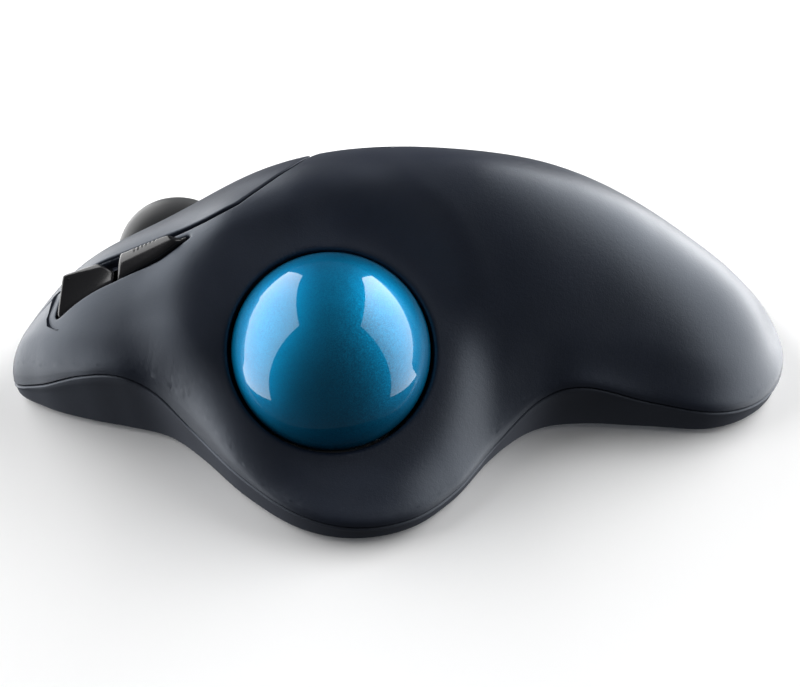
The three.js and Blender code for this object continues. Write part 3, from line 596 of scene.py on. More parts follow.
def rim_rows():
    """Rows of points along the rolled edge."""
    rows = []
    for turn in ROLL_TURNS:
        away = OUTLINE[:, 3] * (1 - math.cos(math.radians(turn)) ** (2 / ROLL))
        row = OUTLINE[:, :2] + INWARD * away[:, None]
        true = nearest(row, OUTLINE)[0]
        rows.append(row[true > away - ROW_SLACK])
    return rows


RIM_ROWS = rim_rows()


# ------------ upper case and buttons
WIDE_MIDDLE, WIDE_HALF, WIDENING = -39.5, 10.5, 0.45  # where the seam is wider, and by how much
EDGE_STEP = 0.5  # from the skin's edge down to the first ring of its wall
RIM_LEDGE = 1.2  # how far the bottom edge of the skin turns in over the lower case
RIM_EASE = 0.16  # a small chamfer before that
SEAM_DEPTH = 1.5  # of the walls along the seam and the slots
MOUTH_STEP, MOUTH_DEPTH = 0.6, 2.2  # the same two rings round the ball, along the socket's axis


def case_seam():
    """The case's side of the seam, which stands further off beside the thumb buttons."""
    loop = shrunk(BOTH, -SEAM_GAP + GAP / 2)
    along = (loop[:, 0] - WIDE_MIDDLE) / WIDE_HALF
    wide = (loop[:, 1] < 0) & (np.abs(along) < 1)
    loop[wide, 1] -= WIDENING * np.cos(along[wide] * math.pi / 2) ** 0.6
    return loop


CASE_EDGES = [
    (OUTLINE[:, :2], 0.0),
    (case_seam(), 0.35),
    (SLOT, 0.55),
    (LIGHT_HOLE, 0.25),
    (OPENING, 0.0),
]


def on_case(xy):
    kept = inside(xy, OUTLINE)
    for loop, _ in CASE_EDGES[1:]:
        kept &= ~inside(xy, loop)
    return kept


def rounded_drop(xy, edges):
    """How far the rounded edges pull each point of a panel down."""
    drop = np.zeros(len(xy))
    for loop, radius in edges:
        if radius:
            drop = np.maximum(drop, edge_drop(nearest(xy, loop)[0], radius))
    return drop


def rounded_top(top, edges):
    """A surface for panel: a height for each point, with rounded edges."""
    return lambda xy: np.column_stack([xy, top(xy) - rounded_drop(xy, edges)])


def case_surface(xy):
    z = skin(xy) - rounded_drop(xy, CASE_EDGES)
    fall = edge_drop(np.maximum(rim_place(xy)[2] - OPENING_R, 0), RIM_ROUND)
    return np.column_stack([xy, z]) - fall[:, None] * SOCKET_AXIS


def inward_at(xy):
    """The way into the case from its nearest edge, seen from above."""
    at = nearest(xy, np.column_stack([OUTLINE[:, :2], INWARD]))[1][:, 2:]
    return at / np.linalg.norm(at, axis=1)[:, None]


def case_wall(xy, outer, into):
    at_rim = nearest(xy, OUTLINE)[0] < ON_LOOP
    at_ball = np.abs(rim_place(xy)[2] - OPENING_R) < 0.05
    first, second = outer.copy(), outer - [0, 0, SEAM_DEPTH]
    inward = np.column_stack([inward_at(xy), np.zeros(len(xy))])
    first[at_rim] += inward[at_rim] * RIM_EASE - [0, 0, RIM_EASE]
    second[at_rim] = first[at_rim] + inward[at_rim] * RIM_LEDGE
    first[~at_rim] -= [0, 0, EDGE_STEP]
    first[at_ball] = outer[at_ball] - SOCKET_AXIS * MOUTH_STEP
    second[at_ball] = outer[at_ball] - SOCKET_AXIS * MOUTH_DEPTH
    return [first, second]


def make_upper_case():
    extra = [*RIM_ROWS, *RIM_RINGS[1:]]
    return panel("upper_case", CASE_EDGES, on_case, case_surface, case_wall, WALL, extra)


PRESS_ROOM = 1.3  # under the front lip of the buttons
LIP = 0.25  # height of that lip
PAD_LEAN, PAD_DEPTH = 0.3, 1.6  # how far a pad's walls draw in, and at what depth
UPRIGHT = 3.0  # this near a pad's edge the inner side turns to lie straight under the skin


def button_skin(xy):
    at = nearest(xy, OUTLINE)[1]
    return np.maximum(skin(xy), at[:, 2] + PRESS_ROOM + LIP)


def make_button(name, area):
    edges = [(OUTLINE[:, :2], 0.0), (shrunk(area, GAP / 2), 0.4), (WELL, 0.45)]

    def keep(xy):
        return inside(xy, OUTLINE) & inside(xy, edges[1][0]) & ~inside(xy, WELL)

    def wall(xy, outer, into):
        away, at = nearest(xy, OUTLINE)
        at_rim = away < ON_LOOP
        inward = np.column_stack([inward_at(xy), np.zeros(len(xy))])
        first = outer - [0, 0, EDGE_STEP]
        second = outer + np.column_stack([into * PAD_LEAN, np.full(len(xy), -PAD_DEPTH)])
        first[at_rim] = outer[at_rim] + inward[at_rim] * LIP - [0, 0, LIP]
        second[at_rim] = outer[at_rim] + inward[at_rim] * RIM_LEDGE - [0, 0, LIP]
        lowest = np.minimum(at[:, 2] + PRESS_ROOM, outer[:, 2] - THINNEST)
        for level in (first, second):
            level[:, 2] = np.maximum(level[:, 2], lowest)
        return [first, second]

    top = rounded_top(button_skin, edges)
    room = PRESS_ROOM - THINNEST
    return panel(name, edges, keep, top, wall, WALL, RIM_ROWS, room=room, upright=UPRIGHT)


# ------------ lower case
POST_TOP = 7.6  # of the posts that take the case screws
POST_R = 3.4
BORE_R, BORE_TOP = 2.75, 4.4  # the holes over the screws' heads
FOOT_SINK = 0.6  # how deep the feet sit in the underside
LIP_ROUND = 0.42  # rounding of the parting edge
BASE_ROUND = 0.6
FEET = [(-59, -1, 4.6), (-40, 27, 4.6), (-8, -37.5, 4.8), (60, -10, 4.4), (36, 33, 4.8)]
SCREWS = [(-36, -18.5), (27, -10), (64.2, 0), (12, 37)]
DOOR_HOLE = pill(-16.5, 58, 2.2, 22.2, 3.5)
SWITCH_HOLE = pill(-3, 7, 30.4, 34, 1.0, 0.35)
EJECT_R = 8
HOLE_EASE = 0.35  # rounding of holes in the underside


def skirt_rings():
    """The lower case's side from its inner lip, over its edge and down to the base."""
    zp = OUTLINE[:, 2]
    lean = SKIRT * (zp - BASE)
    top = zp - GAP / 2
    steps = [(inset + 0 * zp, top) for inset in (WALL, 1.0, LIP_ROUND)]
    for s, c in round_corner(22, 45, 68, 90):
        steps.append((LIP_ROUND * (1 - s) + 0 * zp, top - LIP_ROUND * (1 - c)))
    for share in (0.15, 0.35, 0.6, 0.85):
        z = (top - LIP_ROUND) + (BASE + 0.9 - top + LIP_ROUND) * share
        steps.append((lean * (zp - z) / (zp - BASE), z))
    for s, c in round_corner(0, 22, 45, 68, 90):
        foot = lean * (1 - BASE_ROUND / (zp - BASE))
        steps.append((foot + BASE_ROUND * (1 - c), BASE + BASE_ROUND * (1 - s)))
    level = np.zeros(len(zp))
    return [np.column_stack([OUTLINE[:, :2] + INWARD * d[:, None], level + z]) for d, z in steps]


def hole_walls(shape, loop, top, cap):
    """A hole in the underside with an eased edge; blind when capped."""
    rings = [shape.flat_ring(shrunk(loop, -HOLE_EASE), BASE)]
    for s, c in round_corner(30, 60, 90):
        rings.append(shape.flat_ring(shrunk(loop, -HOLE_EASE * (1 - s)), BASE + HOLE_EASE * (1 - c)))
    rings.append(shape.flat_ring(loop, top))
    shape.bands(rings)
    if cap:
        shape.cap(rings[-1])


def make_lower_case():
    shape = Shape()
    rows = skirt_rings()
    shape.bands([shape.ring(row) for row in rows])
    inner_foot = rows[0].copy()
    inner_foot[:, :2] += INWARD * (SKIRT * (OUTLINE[:, 2] - BASE))[:, None]
    inner_foot[:, 2] = FLOOR
    shape.bands([shape.ring(rows[0]), shape.ring(inner_foot)])
    through = [DOOR_HOLE, SWITCH_HOLE, counter_clockwise(circle(BALL[0], BALL[1], EJECT_R, 72))]
    feet = [circle(x, y, r + GAP, 56) for x, y, r in FEET]
    bores = [circle(x, y, BORE_R, 40) for x, y in SCREWS]
    posts = [circle(x, y, POST_R, 40) for x, y in SCREWS]
    eased = [shrunk(loop, -HOLE_EASE) for loop in (*through, *feet, *bores)]
    shape.plate(rows[-1][:, :2], eased, BASE)
    shape.plate(inner_foot[:, :2], [*through, *posts], FLOOR)
    for loop in through:
        hole_walls(shape, loop, FLOOR, cap=False)
    for loop in feet:
        hole_walls(shape, loop, BASE + FOOT_SINK, cap=True)
    for loop in bores:
        hole_walls(shape, loop, BORE_TOP, cap=True)
    for loop in posts:
        rings = [shape.flat_ring(loop, FLOOR), shape.flat_ring(loop, POST_TOP)]
        shape.bands(rings)
        shape.cap(rings[1])
    return shape.build("lower_case")


# ------------ thumb buttons
FORWARD_PLAN = [(-61.6, -10.9), (-50.9, -9.85), (-50.4, -6.05), (-60.2, -6.8)]
FORWARD_BENDS = [0.6, 0.4, 0.3, 0.5]
BACK_PLAN = [
    (-50.1, -9.75), (-42.3, -8), (-37.4, -5.95),
    (-37.9, -5.7), (-42.1, -5.45), (-49.7, -5.9),
]
BACK_BENDS = [0.5, 5, 0.3, 0.3, 5, 0.4]
KEY_ROUND = 0.45
KEY_DEPTH = 3.2  # how far a thumb button reaches in below the skin
KEY_WALL = 1.0
KEY_GRID = 0.17
RIB_RISE, RIB_PITCH = 0.09, 0.72
RIBS_FROM, RIBS_TO, RIBS_FADE = 2.0, 7.0, 0.4
FACET_BLEND = 0.05  # how softly the flat faces of a thumb button meet


def soft_least(*heights):
    """The least of several heights, with the lines where they meet eased."""
    stack = np.stack(heights)
    least = stack.min(0)
    return least - FACET_BLEND * np.log(np.exp(-(stack - least) / FACET_BLEND).sum(0))


def forward_top(xy):
    """A wedge: a face that turns as it climbs, a level edge and a notch at its rear."""
    ahead, across = xy[:, 0] + 59.6, xy[:, 1] + 7.2
    face = 28.3 + 0.34 * ahead + (1.49 - 0.07 * ahead) * across
    level = 28.6 + 0.34 * ahead + 0.1 * across
    notch = 33.8 - 0.51 * ahead - 0.62 * across
    bevel = 0.35 * face + 0.65 * level - 0.2
    return soft_least(face, level, notch, bevel)


def back_top(xy):
    """A long taper: a flat face, a ribbed facet behind its crease, and a falling point."""
    ahead, across = xy[:, 0] + 49.6, xy[:, 1] + 7.4
    face = 32.0 + 0.34 * ahead + 0.95 * across
    facet = 32.0 + 0.43 * ahead + 0.3 * across
    point = np.maximum(36.1 - 0.3 * (ahead - 9.1), height(xy) + 0.2)
    bevel = (face + facet) / 2 - 0.1
    ribbed = np.clip((across - 0.175 * ahead - 0.15) / 0.2, 0, 1)
    ribbed *= np.clip((ahead - RIBS_FROM) / RIBS_FADE, 0, 1)
    ribbed *= np.clip((RIBS_TO - ahead) / RIBS_FADE, 0, 1)
    ribs = RIB_RISE * ribbed * np.sin(2 * math.pi * ahead / RIB_PITCH)
    return soft_least(face, facet, point, bevel) + ribs


def make_key(name, points, radii, top):
    loop = counter_clockwise(filleted(points, radii, 0.25))
    edges = [(loop, KEY_ROUND)]
    surface = rounded_top(top, edges)

    def wall(xy, outer, into):
        foot = height(xy) - KEY_DEPTH
        return [outer - [0, 0, 0.3], np.column_stack([xy, foot])]

    def keep(xy):
        return inside(xy, loop)

    return panel(name, edges, keep, surface, wall, KEY_WALL, grid=KEY_GRID)


# ------------ turned pieces
def lathe(name, profile, turns, at=(0, 0, 0), axis=(0, 0, 1), sharp=40):
    """A closed profile of radius and offset, turned about an axis through a place."""
    shape = Shape()
    across = Vector(axis).normalized().to_track_quat("Z", "Y").to_matrix()
    rings = []
    for r, z in profile:
        ring = [
            Vector(at) + across @ Vector((r * math.cos(a), r * math.sin(a), z))
            for a in np.linspace(0, 2 * math.pi, turns, endpoint=False)
        ]
        rings.append(shape.ring(ring))
    shape.bands(rings)
    if profile[0] != profile[-1]:
        shape.cap(rings[0])
        shape.cap(rings[-1])
    return shape.build(name, sharp)


def arc(r, z, radius, start, end, steps=5):
    """Profile points round an arc, in degrees."""
    turns = np.radians(np.linspace(start, end, steps + 1))
    return [(r + radius * math.cos(t), z + radius * math.sin(t)) for t in turns]


def make_ball():
    mesh = bpy.data.meshes.new("ball")
    work = bmesh.new()
    bmesh.ops.create_icosphere(work, subdivisions=7, radius=BALL_R * MM)
    bmesh.ops.translate(work, verts=work.verts, vec=Vector(BALL) * MM)
    work.to_mesh(mesh)
    work.free()
    smooth_faces(mesh)
    return add_object("ball", mesh)


WHEEL_R = 11.6
WHEEL_HALF = 3.5
TYRE_DOME = 4.6  # how far the tyre's sides fall below its tread
FOOT_HEIGHT = 1.5
FOOT_ROUND = 0.35


def make_tyre():
    """The tyre: an almost round barrel whose domed sides reach in to a small boss."""
    profile = []
    for turn in np.radians(np.linspace(-90, 90, 31)):
        s, c = math.sin(turn), math.cos(turn)
        along = math.copysign(abs(s) ** 0.86, s)
        profile.append((WHEEL_R - TYRE_DOME * (1 - abs(c) ** 0.8), WHEEL_HALF * along))
    profile += [(7.0, 3.1), (9.9, 2.9), (9.9, -2.9), (7.0, -3.1)]
    profile.append(profile[0])
    return lathe("wheel_tyre", profile, 120, WHEEL, WHEEL_ACROSS)


def make_hub():
    """The hub inside the tyre, with a dished web and a boss round the axle."""
    profile = [(1.5, -3.0), (4.0, -3.0), *arc(4.0, -2.8, 0.2, -90, 0, 3)]
    profile += [(4.6, -2.75), (6.0, -2.9), (6.7, -3.0), (6.7, -2.6), (9.6, -2.6)]
    profile += [(9.6, 2.6), (6.7, 2.6), (6.7, 3.0), (6.0, 2.9), (4.6, 2.75)]
    profile += [*arc(4.0, 2.8, 0.2, 0, 90, 3), (1.5, 3.0)]
    profile.append(profile[0])
    return lathe("wheel_hub", profile, 96, WHEEL, WHEEL_ACROSS)


def make_foot(index, x, y, r):
    profile = [(0.02, 0.0), (r - 0.5, 0.0)]
    profile += arc(r - FOOT_ROUND, FOOT_ROUND, FOOT_ROUND, -90, 0, 4)
    profile += [(r, FOOT_HEIGHT), (0.02, FOOT_HEIGHT)]
    return lathe(f"foot_disc_{index}", profile, 64, (x, y, 0))


HEAD_R, HEAD_BOTTOM, HEAD_TOP, HEAD_ROUND = 2.4, 2.4, 4.1, 0.35
RECESS_TOP = 3.2


def make_screw_head(index, x, y, tip):
    """A pan head, turned down, with a cross recess, and its plain shank above it."""
    loop = circle(x, y, HEAD_R, 48)
    face = shrunk(loop, HEAD_ROUND)
    bar, arm = 0.32, 1.35
    cross = [(arm, bar), (bar, bar), (bar, arm)]
    for _ in range(3):
        cross += [(-b, a) for a, b in cross[-3:]]
    cross = counter_clockwise(np.array([(x + a, y + b) for a, b in cross]))
    shape = Shape()
    shape.plate(face, [cross], HEAD_BOTTOM)
    rings = [shape.flat_ring(face, HEAD_BOTTOM)]
    for s, c in round_corner(30, 60, 90):
        ring = shrunk(loop, HEAD_ROUND * (1 - s))
        rings.append(shape.flat_ring(ring, HEAD_BOTTOM + HEAD_ROUND * (1 - c)))
    rings.append(shape.flat_ring(loop, HEAD_TOP))
    for r, z in ((1.0, HEAD_TOP), (1.0, tip - 0.6), (0.4, tip)):
        rings.append(shape.flat_ring(circle(x, y, r, 48), z))
    shape.bands(rings)
    shape.cap(rings[-1])
    slope = [
        shape.flat_ring(cross, HEAD_BOTTOM),
        shape.flat_ring(shrunk(cross, 0.06), RECESS_TOP),
    ]
    shape.bands(slope)
    shape.cap(slope[1])
    return shape.build(f"screw_{index}")


# ------------ battery door, light, switch
DOOR_THICK = 1.4
DOOR_ROUND = 0.4
GROOVES, GROOVE_START, GROOVE_PITCH, GROOVE_WIDE = 5, 47, 1.8, 1


def make_door():
    """The door's plate, with finger grooves across its sliding end."""
    loop = pill(-16.2, 57.7, 2.5, 21.9, 3.2)
    shape = Shape()
    rings = []
    for s, c in round_corner(90, 60, 30, 0):
        ring = shrunk(loop, DOOR_ROUND * (1 - c))
        rings.append(shape.flat_ring(ring, BASE + DOOR_ROUND * (1 - s)))
    rings.append(shape.flat_ring(loop, BASE + DOOR_THICK))
    shape.bands(rings)
    shape.cap(rings[-1])
    lefts = [GROOVE_START + GROOVE_PITCH * k for k in range(GROOVES)]
    grooves = [pill(x, x + GROOVE_WIDE, 7, 17, 0.45, 0.25) for x in lefts]
    shape.plate(shrunk(loop, DOOR_ROUND), grooves, BASE)
    for groove in grooves:
        walls = [shape.flat_ring(groove, BASE)]
        for away, depth in ((0.06, 0.25), (0.2, 0.42), (0.36, 0.5)):
            walls.append(shape.flat_ring(shrunk(groove, away), BASE + depth))
        shape.bands(walls)
        shape.cap(walls[-1])
    return shape.build("battery_door_plate", sharp=50)


def make_light():
    loop = pill(-7.5, -1.5, 13.3, 15.7, 1.15, 0.3)
    edges = [(loop, 0.22)]
    surface = rounded_top(lambda xy: skin(xy) - 0.05, edges)

    def wall(xy, outer, into):
        return [outer - [0, 0, 0.8]]

    def keep(xy):
        return inside(xy, loop)

    return panel("light_window", edges, keep, surface, wall, 1.4, grid=0.5)


def make_knob():
    """The power switch's thumb piece and its flange inside the case."""
    shape = Shape()
    grip = pill(-2.6, 0.6, 30.8, 33.6, 0.4, 0.2)
    rings = [shape.flat_ring(shrunk(grip, 0.2), BASE - 0.2), shape.flat_ring(grip, BASE)]
    rings.append(shape.flat_ring(grip, FLOOR + GAP))
    shape.bands(rings)
    shape.cap(rings[0])
    flange = pill(-5.2, 3.2, 29.8, 34.6, 0.5, 0.4)
    shape.plate(flange, [grip], FLOOR + GAP)
    sides = [shape.flat_ring(flange, FLOOR + GAP), shape.flat_ring(flange, FLOOR + GAP + 1)]
    shape.bands(sides)
    shape.cap(sides[1])
    return shape.build("power_switch_thumb_piece")


# ------------ materials
def fill(node, **values):
    """Sets a node's inputs by name; an underscore stands for a space."""
    for key, value in values.items():
        node.inputs[key.replace("_", " ")].default_value = value
    return node


class Nodes:
    """A material's node tree, with short ways of adding to it."""

    def __init__(self, name):
        self.material = bpy.data.materials.new(name + "_look")
        self.material.use_nodes = True
        self.tree = self.material.node_tree
        self.shader = self.tree.nodes["Principled BSDF"]
        place = self.add("ShaderNodeTexCoord")
        self.place = place.outputs["Object"]

    def add(self, kind, **values):
        node = self.tree.nodes.new(kind)
        for key, value in values.items():
            setattr(node, key, value)
        return node

    def link(self, a, b):
        self.tree.links.new(a, b)

    def set(self, **values):
        fill(self.shader, **values)

    def noise(self, size, detail=2.0, roughness=0.5):
        """Noise whose features are about a size in millimetres."""
        node = self.add("ShaderNodeTexNoise")
        fill(node, Scale=1 / (size * MM), Detail=detail, Roughness=roughness)
        self.link(self.place, node.inputs["Vector"])
        return node.outputs["Fac"]

    def spread(self, value, low, high, start=0.3, end=0.7):
        """A noise value stretched between two numbers."""
        node = self.add("ShaderNodeMapRange")
        fill(node, From_Min=start, From_Max=end, To_Min=low, To_Max=high)
        self.link(value, node.inputs["Value"])
        return node.outputs["Result"]

    def mix(self, value, low, high):
        """A colour between two colours."""
        node = self.add("ShaderNodeMix", data_type="RGBA")
        node.inputs[6].default_value = (*low, 1)
        node.inputs[7].default_value = (*high, 1)
        self.link(value, node.inputs["Factor"])
        return node.outputs[2]

    def bump(self, value, depth, strength=1.0, before=None):
        """A bump of a depth in millimetres."""
        node = self.add("ShaderNodeBump")
        fill(node, Strength=strength, Distance=depth * MM)
        self.link(value, node.inputs["Height"])
        if before is not None:
            self.link(before, node.inputs["Normal"])
        self.link(node.outputs["Normal"], self.shader.inputs["Normal"])
        return node.outputs["Normal"]

    def colour(self, output):
        self.link(output, self.shader.inputs["Base Color"])

    def roughness(self, output):
        self.link(output, self.shader.inputs["Roughness"])


MOTTLE = 0.1  # how far a plastic's colour wanders
UNEVEN = 0.035  # how far its roughness wanders
SMOOTHEST = 0.004  # a grain no deeper than this has no coarser grain with it
FLAKE = 0.13  # size of a pearl flake
FLAKE_TILT = 0.10
COOL = (0.80, 0.89, 1.0)  # the tint of the case's gloss
BAND_FROM = 22  # the x at which the cell's coloured band starts


def moulded(
    name, colour, rough, grain=0.28, depth=0.012, gloss=0.0, shine=0.5, tint=(1, 1, 1)
):
    """Moulded plastic: a fine spark-eroded grain, faint mottling and uneven gloss."""
    n = Nodes(name)
    dark = tuple(c * (1 - MOTTLE) for c in colour)
    light = tuple(c * (1 + MOTTLE) for c in colour)
    n.colour(n.mix(n.spread(n.noise(9.0, 3.0), 0, 1), dark, light))
    n.roughness(n.spread(n.noise(14.0, 4.0, 0.6), rough - UNEVEN, rough + UNEVEN))
    fine = n.bump(n.noise(grain, 2.0, 0.6), depth)
    if depth > SMOOTHEST:
        n.bump(n.noise(grain * 3.1, 1.0), depth * 0.6, before=fine)
    n.set(Specular_IOR_Level=shine, Specular_Tint=(*tint, 1))
    n.set(Coat_Weight=gloss, Coat_Roughness=0.08)
    return n.material


def pearl(name):
    """The ball: blue pearl flakes under a clear lacquer."""
    n = Nodes(name)
    cells = fill(n.add("ShaderNodeTexVoronoi"), Scale=1 / (FLAKE * MM))
    n.link(n.place, cells.inputs["Vector"])
    split = n.add("ShaderNodeSeparateColor")
    n.link(cells.outputs["Color"], split.inputs["Color"])
    flake = n.spread(split.outputs["Red"], 0, 1, 0.0, 1.0)
    deep, bright = (0.0003, 0.14, 0.29), (0.001, 0.21, 0.40)
    n.colour(n.mix(flake, deep, bright))
    n.roughness(n.spread(n.noise(5.0, 3.0), 0.50, 0.56))
    tilt = n.add("ShaderNodeVectorMath", operation="SUBTRACT")
    n.link(cells.outputs["Color"], tilt.inputs[0])
    tilt.inputs[1].default_value = (0.5, 0.5, 0.5)
    shrink = fill(n.add("ShaderNodeVectorMath", operation="SCALE"), Scale=FLAKE_TILT)
    n.link(tilt.outputs[0], shrink.inputs[0])
    facing = n.add("ShaderNodeNewGeometry")
    lean = n.add("ShaderNodeVectorMath", operation="ADD")
    n.link(facing.outputs["Normal"], lean.inputs[0])
    n.link(shrink.outputs[0], lean.inputs[1])
    straight = n.add("ShaderNodeVectorMath", operation="NORMALIZE")
    n.link(lean.outputs[0], straight.inputs[0])
    n.link(straight.outputs[0], n.shader.inputs["Normal"])
    n.set(Metallic=0.9, Coat_Weight=1.0, Coat_Roughness=0.03, Coat_IOR=1.5)
    n.set(Specular_Tint=(0.15, 0.6, 1.0, 1))
    return n.material


def metal(name, colour, rough, streak=0.6):
    """Plated or drawn metal with a faint grain and a little tarnish."""
    n = Nodes(name)
    dark = tuple(c * 0.8 for c in colour)
    n.colour(n.mix(n.spread(n.noise(3.0, 4.0), 0, 1), dark, colour))
    n.roughness(n.spread(n.noise(streak, 3.0), rough - 0.06, rough + 0.08))
    n.bump(n.noise(0.2, 2.0), 0.003)
    n.set(Metallic=1.0)
    return n.material


def board(name):
    """A circuit board: solder mask over faint tracks."""
    n = Nodes(name)
    tracks = fill(n.add("ShaderNodeTexBrick"), Scale=420, Mortar_Size=0.02)
    fill(tracks, Color1=(0.010, 0.085, 0.035, 1), Color2=(0.012, 0.110, 0.045, 1))
    fill(tracks, Mortar=(0.03, 0.19, 0.08, 1))
    n.link(n.place, tracks.inputs["Vector"])
    n.colour(tracks.outputs["Color"])
    n.roughness(n.spread(n.noise(4.0, 2.0), 0.3, 0.42))
    n.bump(tracks.outputs["Fac"], 0.02, 0.4)
    return n.material


def jacket(name):
    """The cell's printed sleeve: dark with a copper-coloured band at the button end."""
    n = Nodes(name)
    split = n.add("ShaderNodeSeparateXYZ")
    n.link(n.place, split.inputs["Vector"])
    band = n.add("ShaderNodeMath", operation="GREATER_THAN")
    band.inputs[1].default_value = BAND_FROM * MM
    n.link(split.outputs["X"], band.inputs[0])
    n.colour(n.mix(band.outputs["Value"], (0.012, 0.012, 0.014), (0.55, 0.25, 0.08)))
    n.roughness(n.spread(n.noise(6.0, 3.0), 0.2, 0.3))
    n.bump(n.noise(1.6, 2.0), 0.01)
    n.set(Metallic=0.3, Coat_Weight=0.4, Coat_Roughness=0.1)
    return n.material


def glassy(name, colour, rough, clear):
    """Clear or smoked plastic."""
    n = Nodes(name)
    pale = tuple(min(1.0, c * 1.15) for c in colour)
    n.colour(n.mix(n.spread(n.noise(4.0, 2.0), 0, 1), colour, pale))
    n.roughness(n.spread(n.noise(3.0, 2.0), rough, rough + 0.06))
    n.bump(n.noise(1.2, 2.0), 0.004)
    n.set(Transmission_Weight=clear, IOR=1.49)
    return n.material


graphite = (0.0050, 0.0075, 0.0175)
dark_graphite = (0.0110, 0.0135, 0.0240)
gloss_black = (0.0140, 0.0140, 0.0155)
tyre_grey = (0.040, 0.041, 0.043)
MATERIALS = {
    "graphite": moulded("graphite_plastic", graphite, 0.46, depth=0.020, shine=0.75, tint=COOL),
    "lower": moulded(
        "dark_graphite_plastic", dark_graphite, 0.56, depth=0.014, shine=0.9, tint=COOL
    ),
    "black": moulded("black_plastic", (0.0070, 0.0070, 0.0075), 0.5, depth=0.008),
    "gloss": moulded("black_gloss_plastic", gloss_black, 0.16, grain=0.6, depth=0.001, gloss=0.3),
    "pearl": pearl("pearl_blue"),
    "rubber": moulded("rubber", tyre_grey, 0.5, grain=0.18, depth=0.008, shine=0.6),
    "foot": moulded("foot_pad", (0.010, 0.010, 0.011), 0.6, grain=0.5, depth=0.01),
    "steel": metal("steel", (0.62, 0.63, 0.65), 0.28),
    "cell": jacket("cell_jacket"),
    "board": board("circuit_board"),
    "clear": glassy("clear_plastic", (0.80, 0.85, 0.88), 0.04, 0.9),
    "smoked": glassy("smoked_plastic", (0.045, 0.055, 0.07), 0.12, 0.3),
    "ivory": moulded("ivory_plastic", (0.62, 0.58, 0.46), 0.4, depth=0.004),
}
replaced = set()


def finish(obj, body, key, *nodes):
    """Puts a finished piece on its body in its material, in place of CAD nodes."""
    material = MATERIALS[key]
    obj.data.materials.append(material)
    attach(obj, body)
    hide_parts(*nodes)
    replaced.update(nodes)


# ------------ the pieces
finish(make_upper_case(), "case", "graphite", "upper_shell")
finish(make_lower_case(), "case", "lower", "lower_shell")
finish(make_button("left_button_pad", LEFT), "left_button", "graphite", "left_button")
finish(make_button("right_button_pad", RIGHT), "right_button", "graphite", "right_button")
forward = make_key("forward_key", FORWARD_PLAN, FORWARD_BENDS, forward_top)
finish(forward, "forward_button", "gloss", "forward_button")
back = make_key("back_key", BACK_PLAN, BACK_BENDS, back_top)
finish(back, "back_button", "gloss", "back_button")
finish(make_ball(), "trackball", "pearl", "trackball")
finish(make_tyre(), "scroll_wheel", "rubber", "scroll_wheel_tyre")
finish(make_hub(), "scroll_wheel", "black", "scroll_wheel_hub")
finish(make_light(), "case", "smoked", "status_light")
finish(make_door(), "battery_door", "graphite", "battery_door")
finish(make_knob(), "power_switch_knob", "black", "power_switch_knob")
for number, (x, y, r) in enumerate(FEET, 1):
    finish(make_foot(number, x, y, r), "case", "foot", f"foot_{number}")
SCREW_TIPS = [15, 16, 12.5, 14]
for number, ((x, y), tip) in enumerate(zip(SCREWS, SCREW_TIPS), 1):
    finish(make_screw_head(number, x, y, tip), "case", "steel", f"case_screw_{number}")

# What the CAD nodes that stay are made of; plungers are ivory and the rest black plastic.
CARRIED = {
    "ball_bearing": "steel",
    "sensor_lens": "clear",
    "sensor_board": "board",
    "battery_cell": "cell",
    "battery_contact": "steel",
    "receiver_plug": "steel",
    "main_board": "board",
    "thumb_button_board": "board",
    "encoder_rotor": "ivory",
    "scroll_wheel_axle": "steel",
    "wheel_spring": "steel",
}


def carried_look(node):
    """Which material a CAD node that stays gets, by how its name starts."""
    for start, key in CARRIED.items():
        if node.startswith(start):
            return key
    return "ivory" if node.endswith("_plunger") else "black"


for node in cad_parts:
    if node not in replaced:
        obj = bpy.data.objects[node]
        obj.data.materials.clear()
        obj.data.materials.append(MATERIALS[carried_look(node)])


# ------------ studio
# In metres: two walls of light stand at the ends of the object, -X and +X.
LIGHT_AWAY = 0.42
LIGHT_FRONT = -0.20
LIGHT_LENGTH = 1.10
LIGHT_FOOT = -0.26  # they reach below the level of the floor
LIGHT_HEIGHT = 0.90
GRADE_REAR = 0.45  # from here back the light is at its rear strength
FLOOR_HALF = 2.5


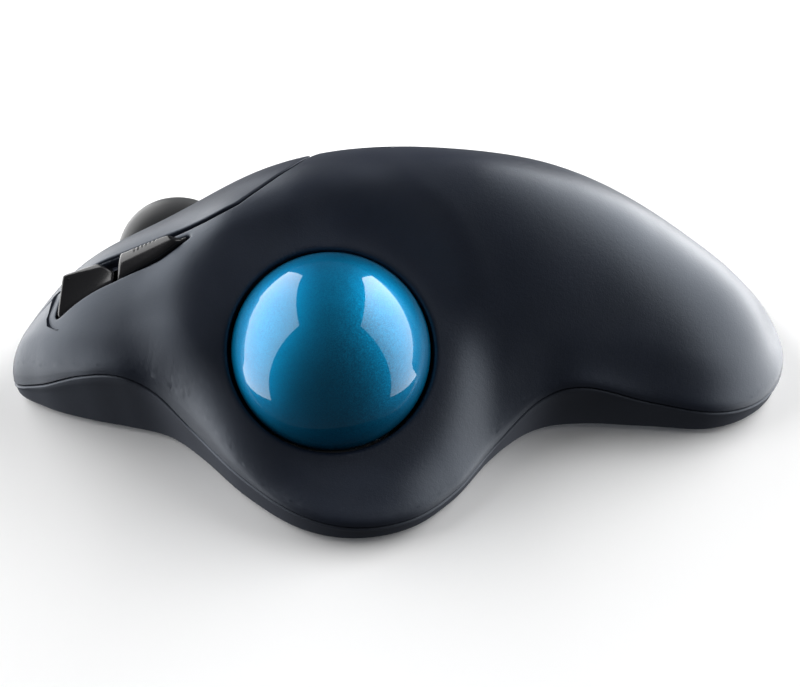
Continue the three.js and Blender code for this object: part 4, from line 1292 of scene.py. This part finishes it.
def make_floor():
    """A pale floor that only the camera sees: it neither lights nor shades the object."""
    mesh = bpy.data.meshes.new("floor")
    work = bmesh.new()
    bmesh.ops.create_grid(work, x_segments=1, y_segments=1, size=FLOOR_HALF)
    work.to_mesh(mesh)
    work.free()
    obj = add_object("floor", mesh)
    n = Nodes("floor")
    n.set(Base_Color=(0.93, 0.93, 0.93, 1), Roughness=0.7, Specular_IOR_Level=0.1)
    mesh.materials.append(n.material)
    obj.visible_glossy = False
    obj.visible_diffuse = False
    obj.visible_shadow = False
    return obj


def softbox(name, side, front, rear):
    """A tall wall of soft light beside the object, with its radiance graded front to rear."""
    data = bpy.data.lights.new(name, "AREA")
    data.shape = "RECTANGLE"
    data.size, data.size_y = LIGHT_LENGTH, LIGHT_HEIGHT
    data.energy = math.pi * LIGHT_LENGTH * LIGHT_HEIGHT  # a radiance of 1 over the whole wall
    data.use_nodes = True
    tree = data.node_tree
    place = tree.nodes.new("ShaderNodeNewGeometry")
    split = tree.nodes.new("ShaderNodeSeparateXYZ")
    grade = tree.nodes.new("ShaderNodeMapRange")
    fill(grade, From_Min=LIGHT_FRONT, From_Max=GRADE_REAR, To_Min=front, To_Max=rear)
    tree.links.new(place.outputs["Position"], split.inputs[0])
    tree.links.new(split.outputs["Y"], grade.inputs["Value"])
    tree.links.new(grade.outputs[0], tree.nodes["Emission"].inputs["Strength"])
    obj = add_object(name, data)
    back, up = Vector((side, 0, 0)), Vector((0, 0, 1))
    turn = Matrix((up.cross(back), up, back)).transposed()
    x, y, z = side * LIGHT_AWAY, LIGHT_FRONT + LIGHT_LENGTH / 2, LIGHT_FOOT + LIGHT_HEIGHT / 2
    obj.matrix_world = Matrix.Translation((x, y, z)) @ turn.to_4x4()
    return obj


def make_world(strength):
    world = bpy.data.worlds.new("world")
    bpy.context.scene.world = world
    world.use_nodes = True
    fill(world.node_tree.nodes["Background"], Color=(0.95, 0.97, 1.0, 1), Strength=strength)


stage = [make_floor()]
stage.append(softbox("softbox_left", -1, 3.2, 4.4))
stage.append(softbox("softbox_right", 1, 1.7, 7.0))
make_world(0.07)
bpy.context.scene.view_settings.view_transform = "Standard"
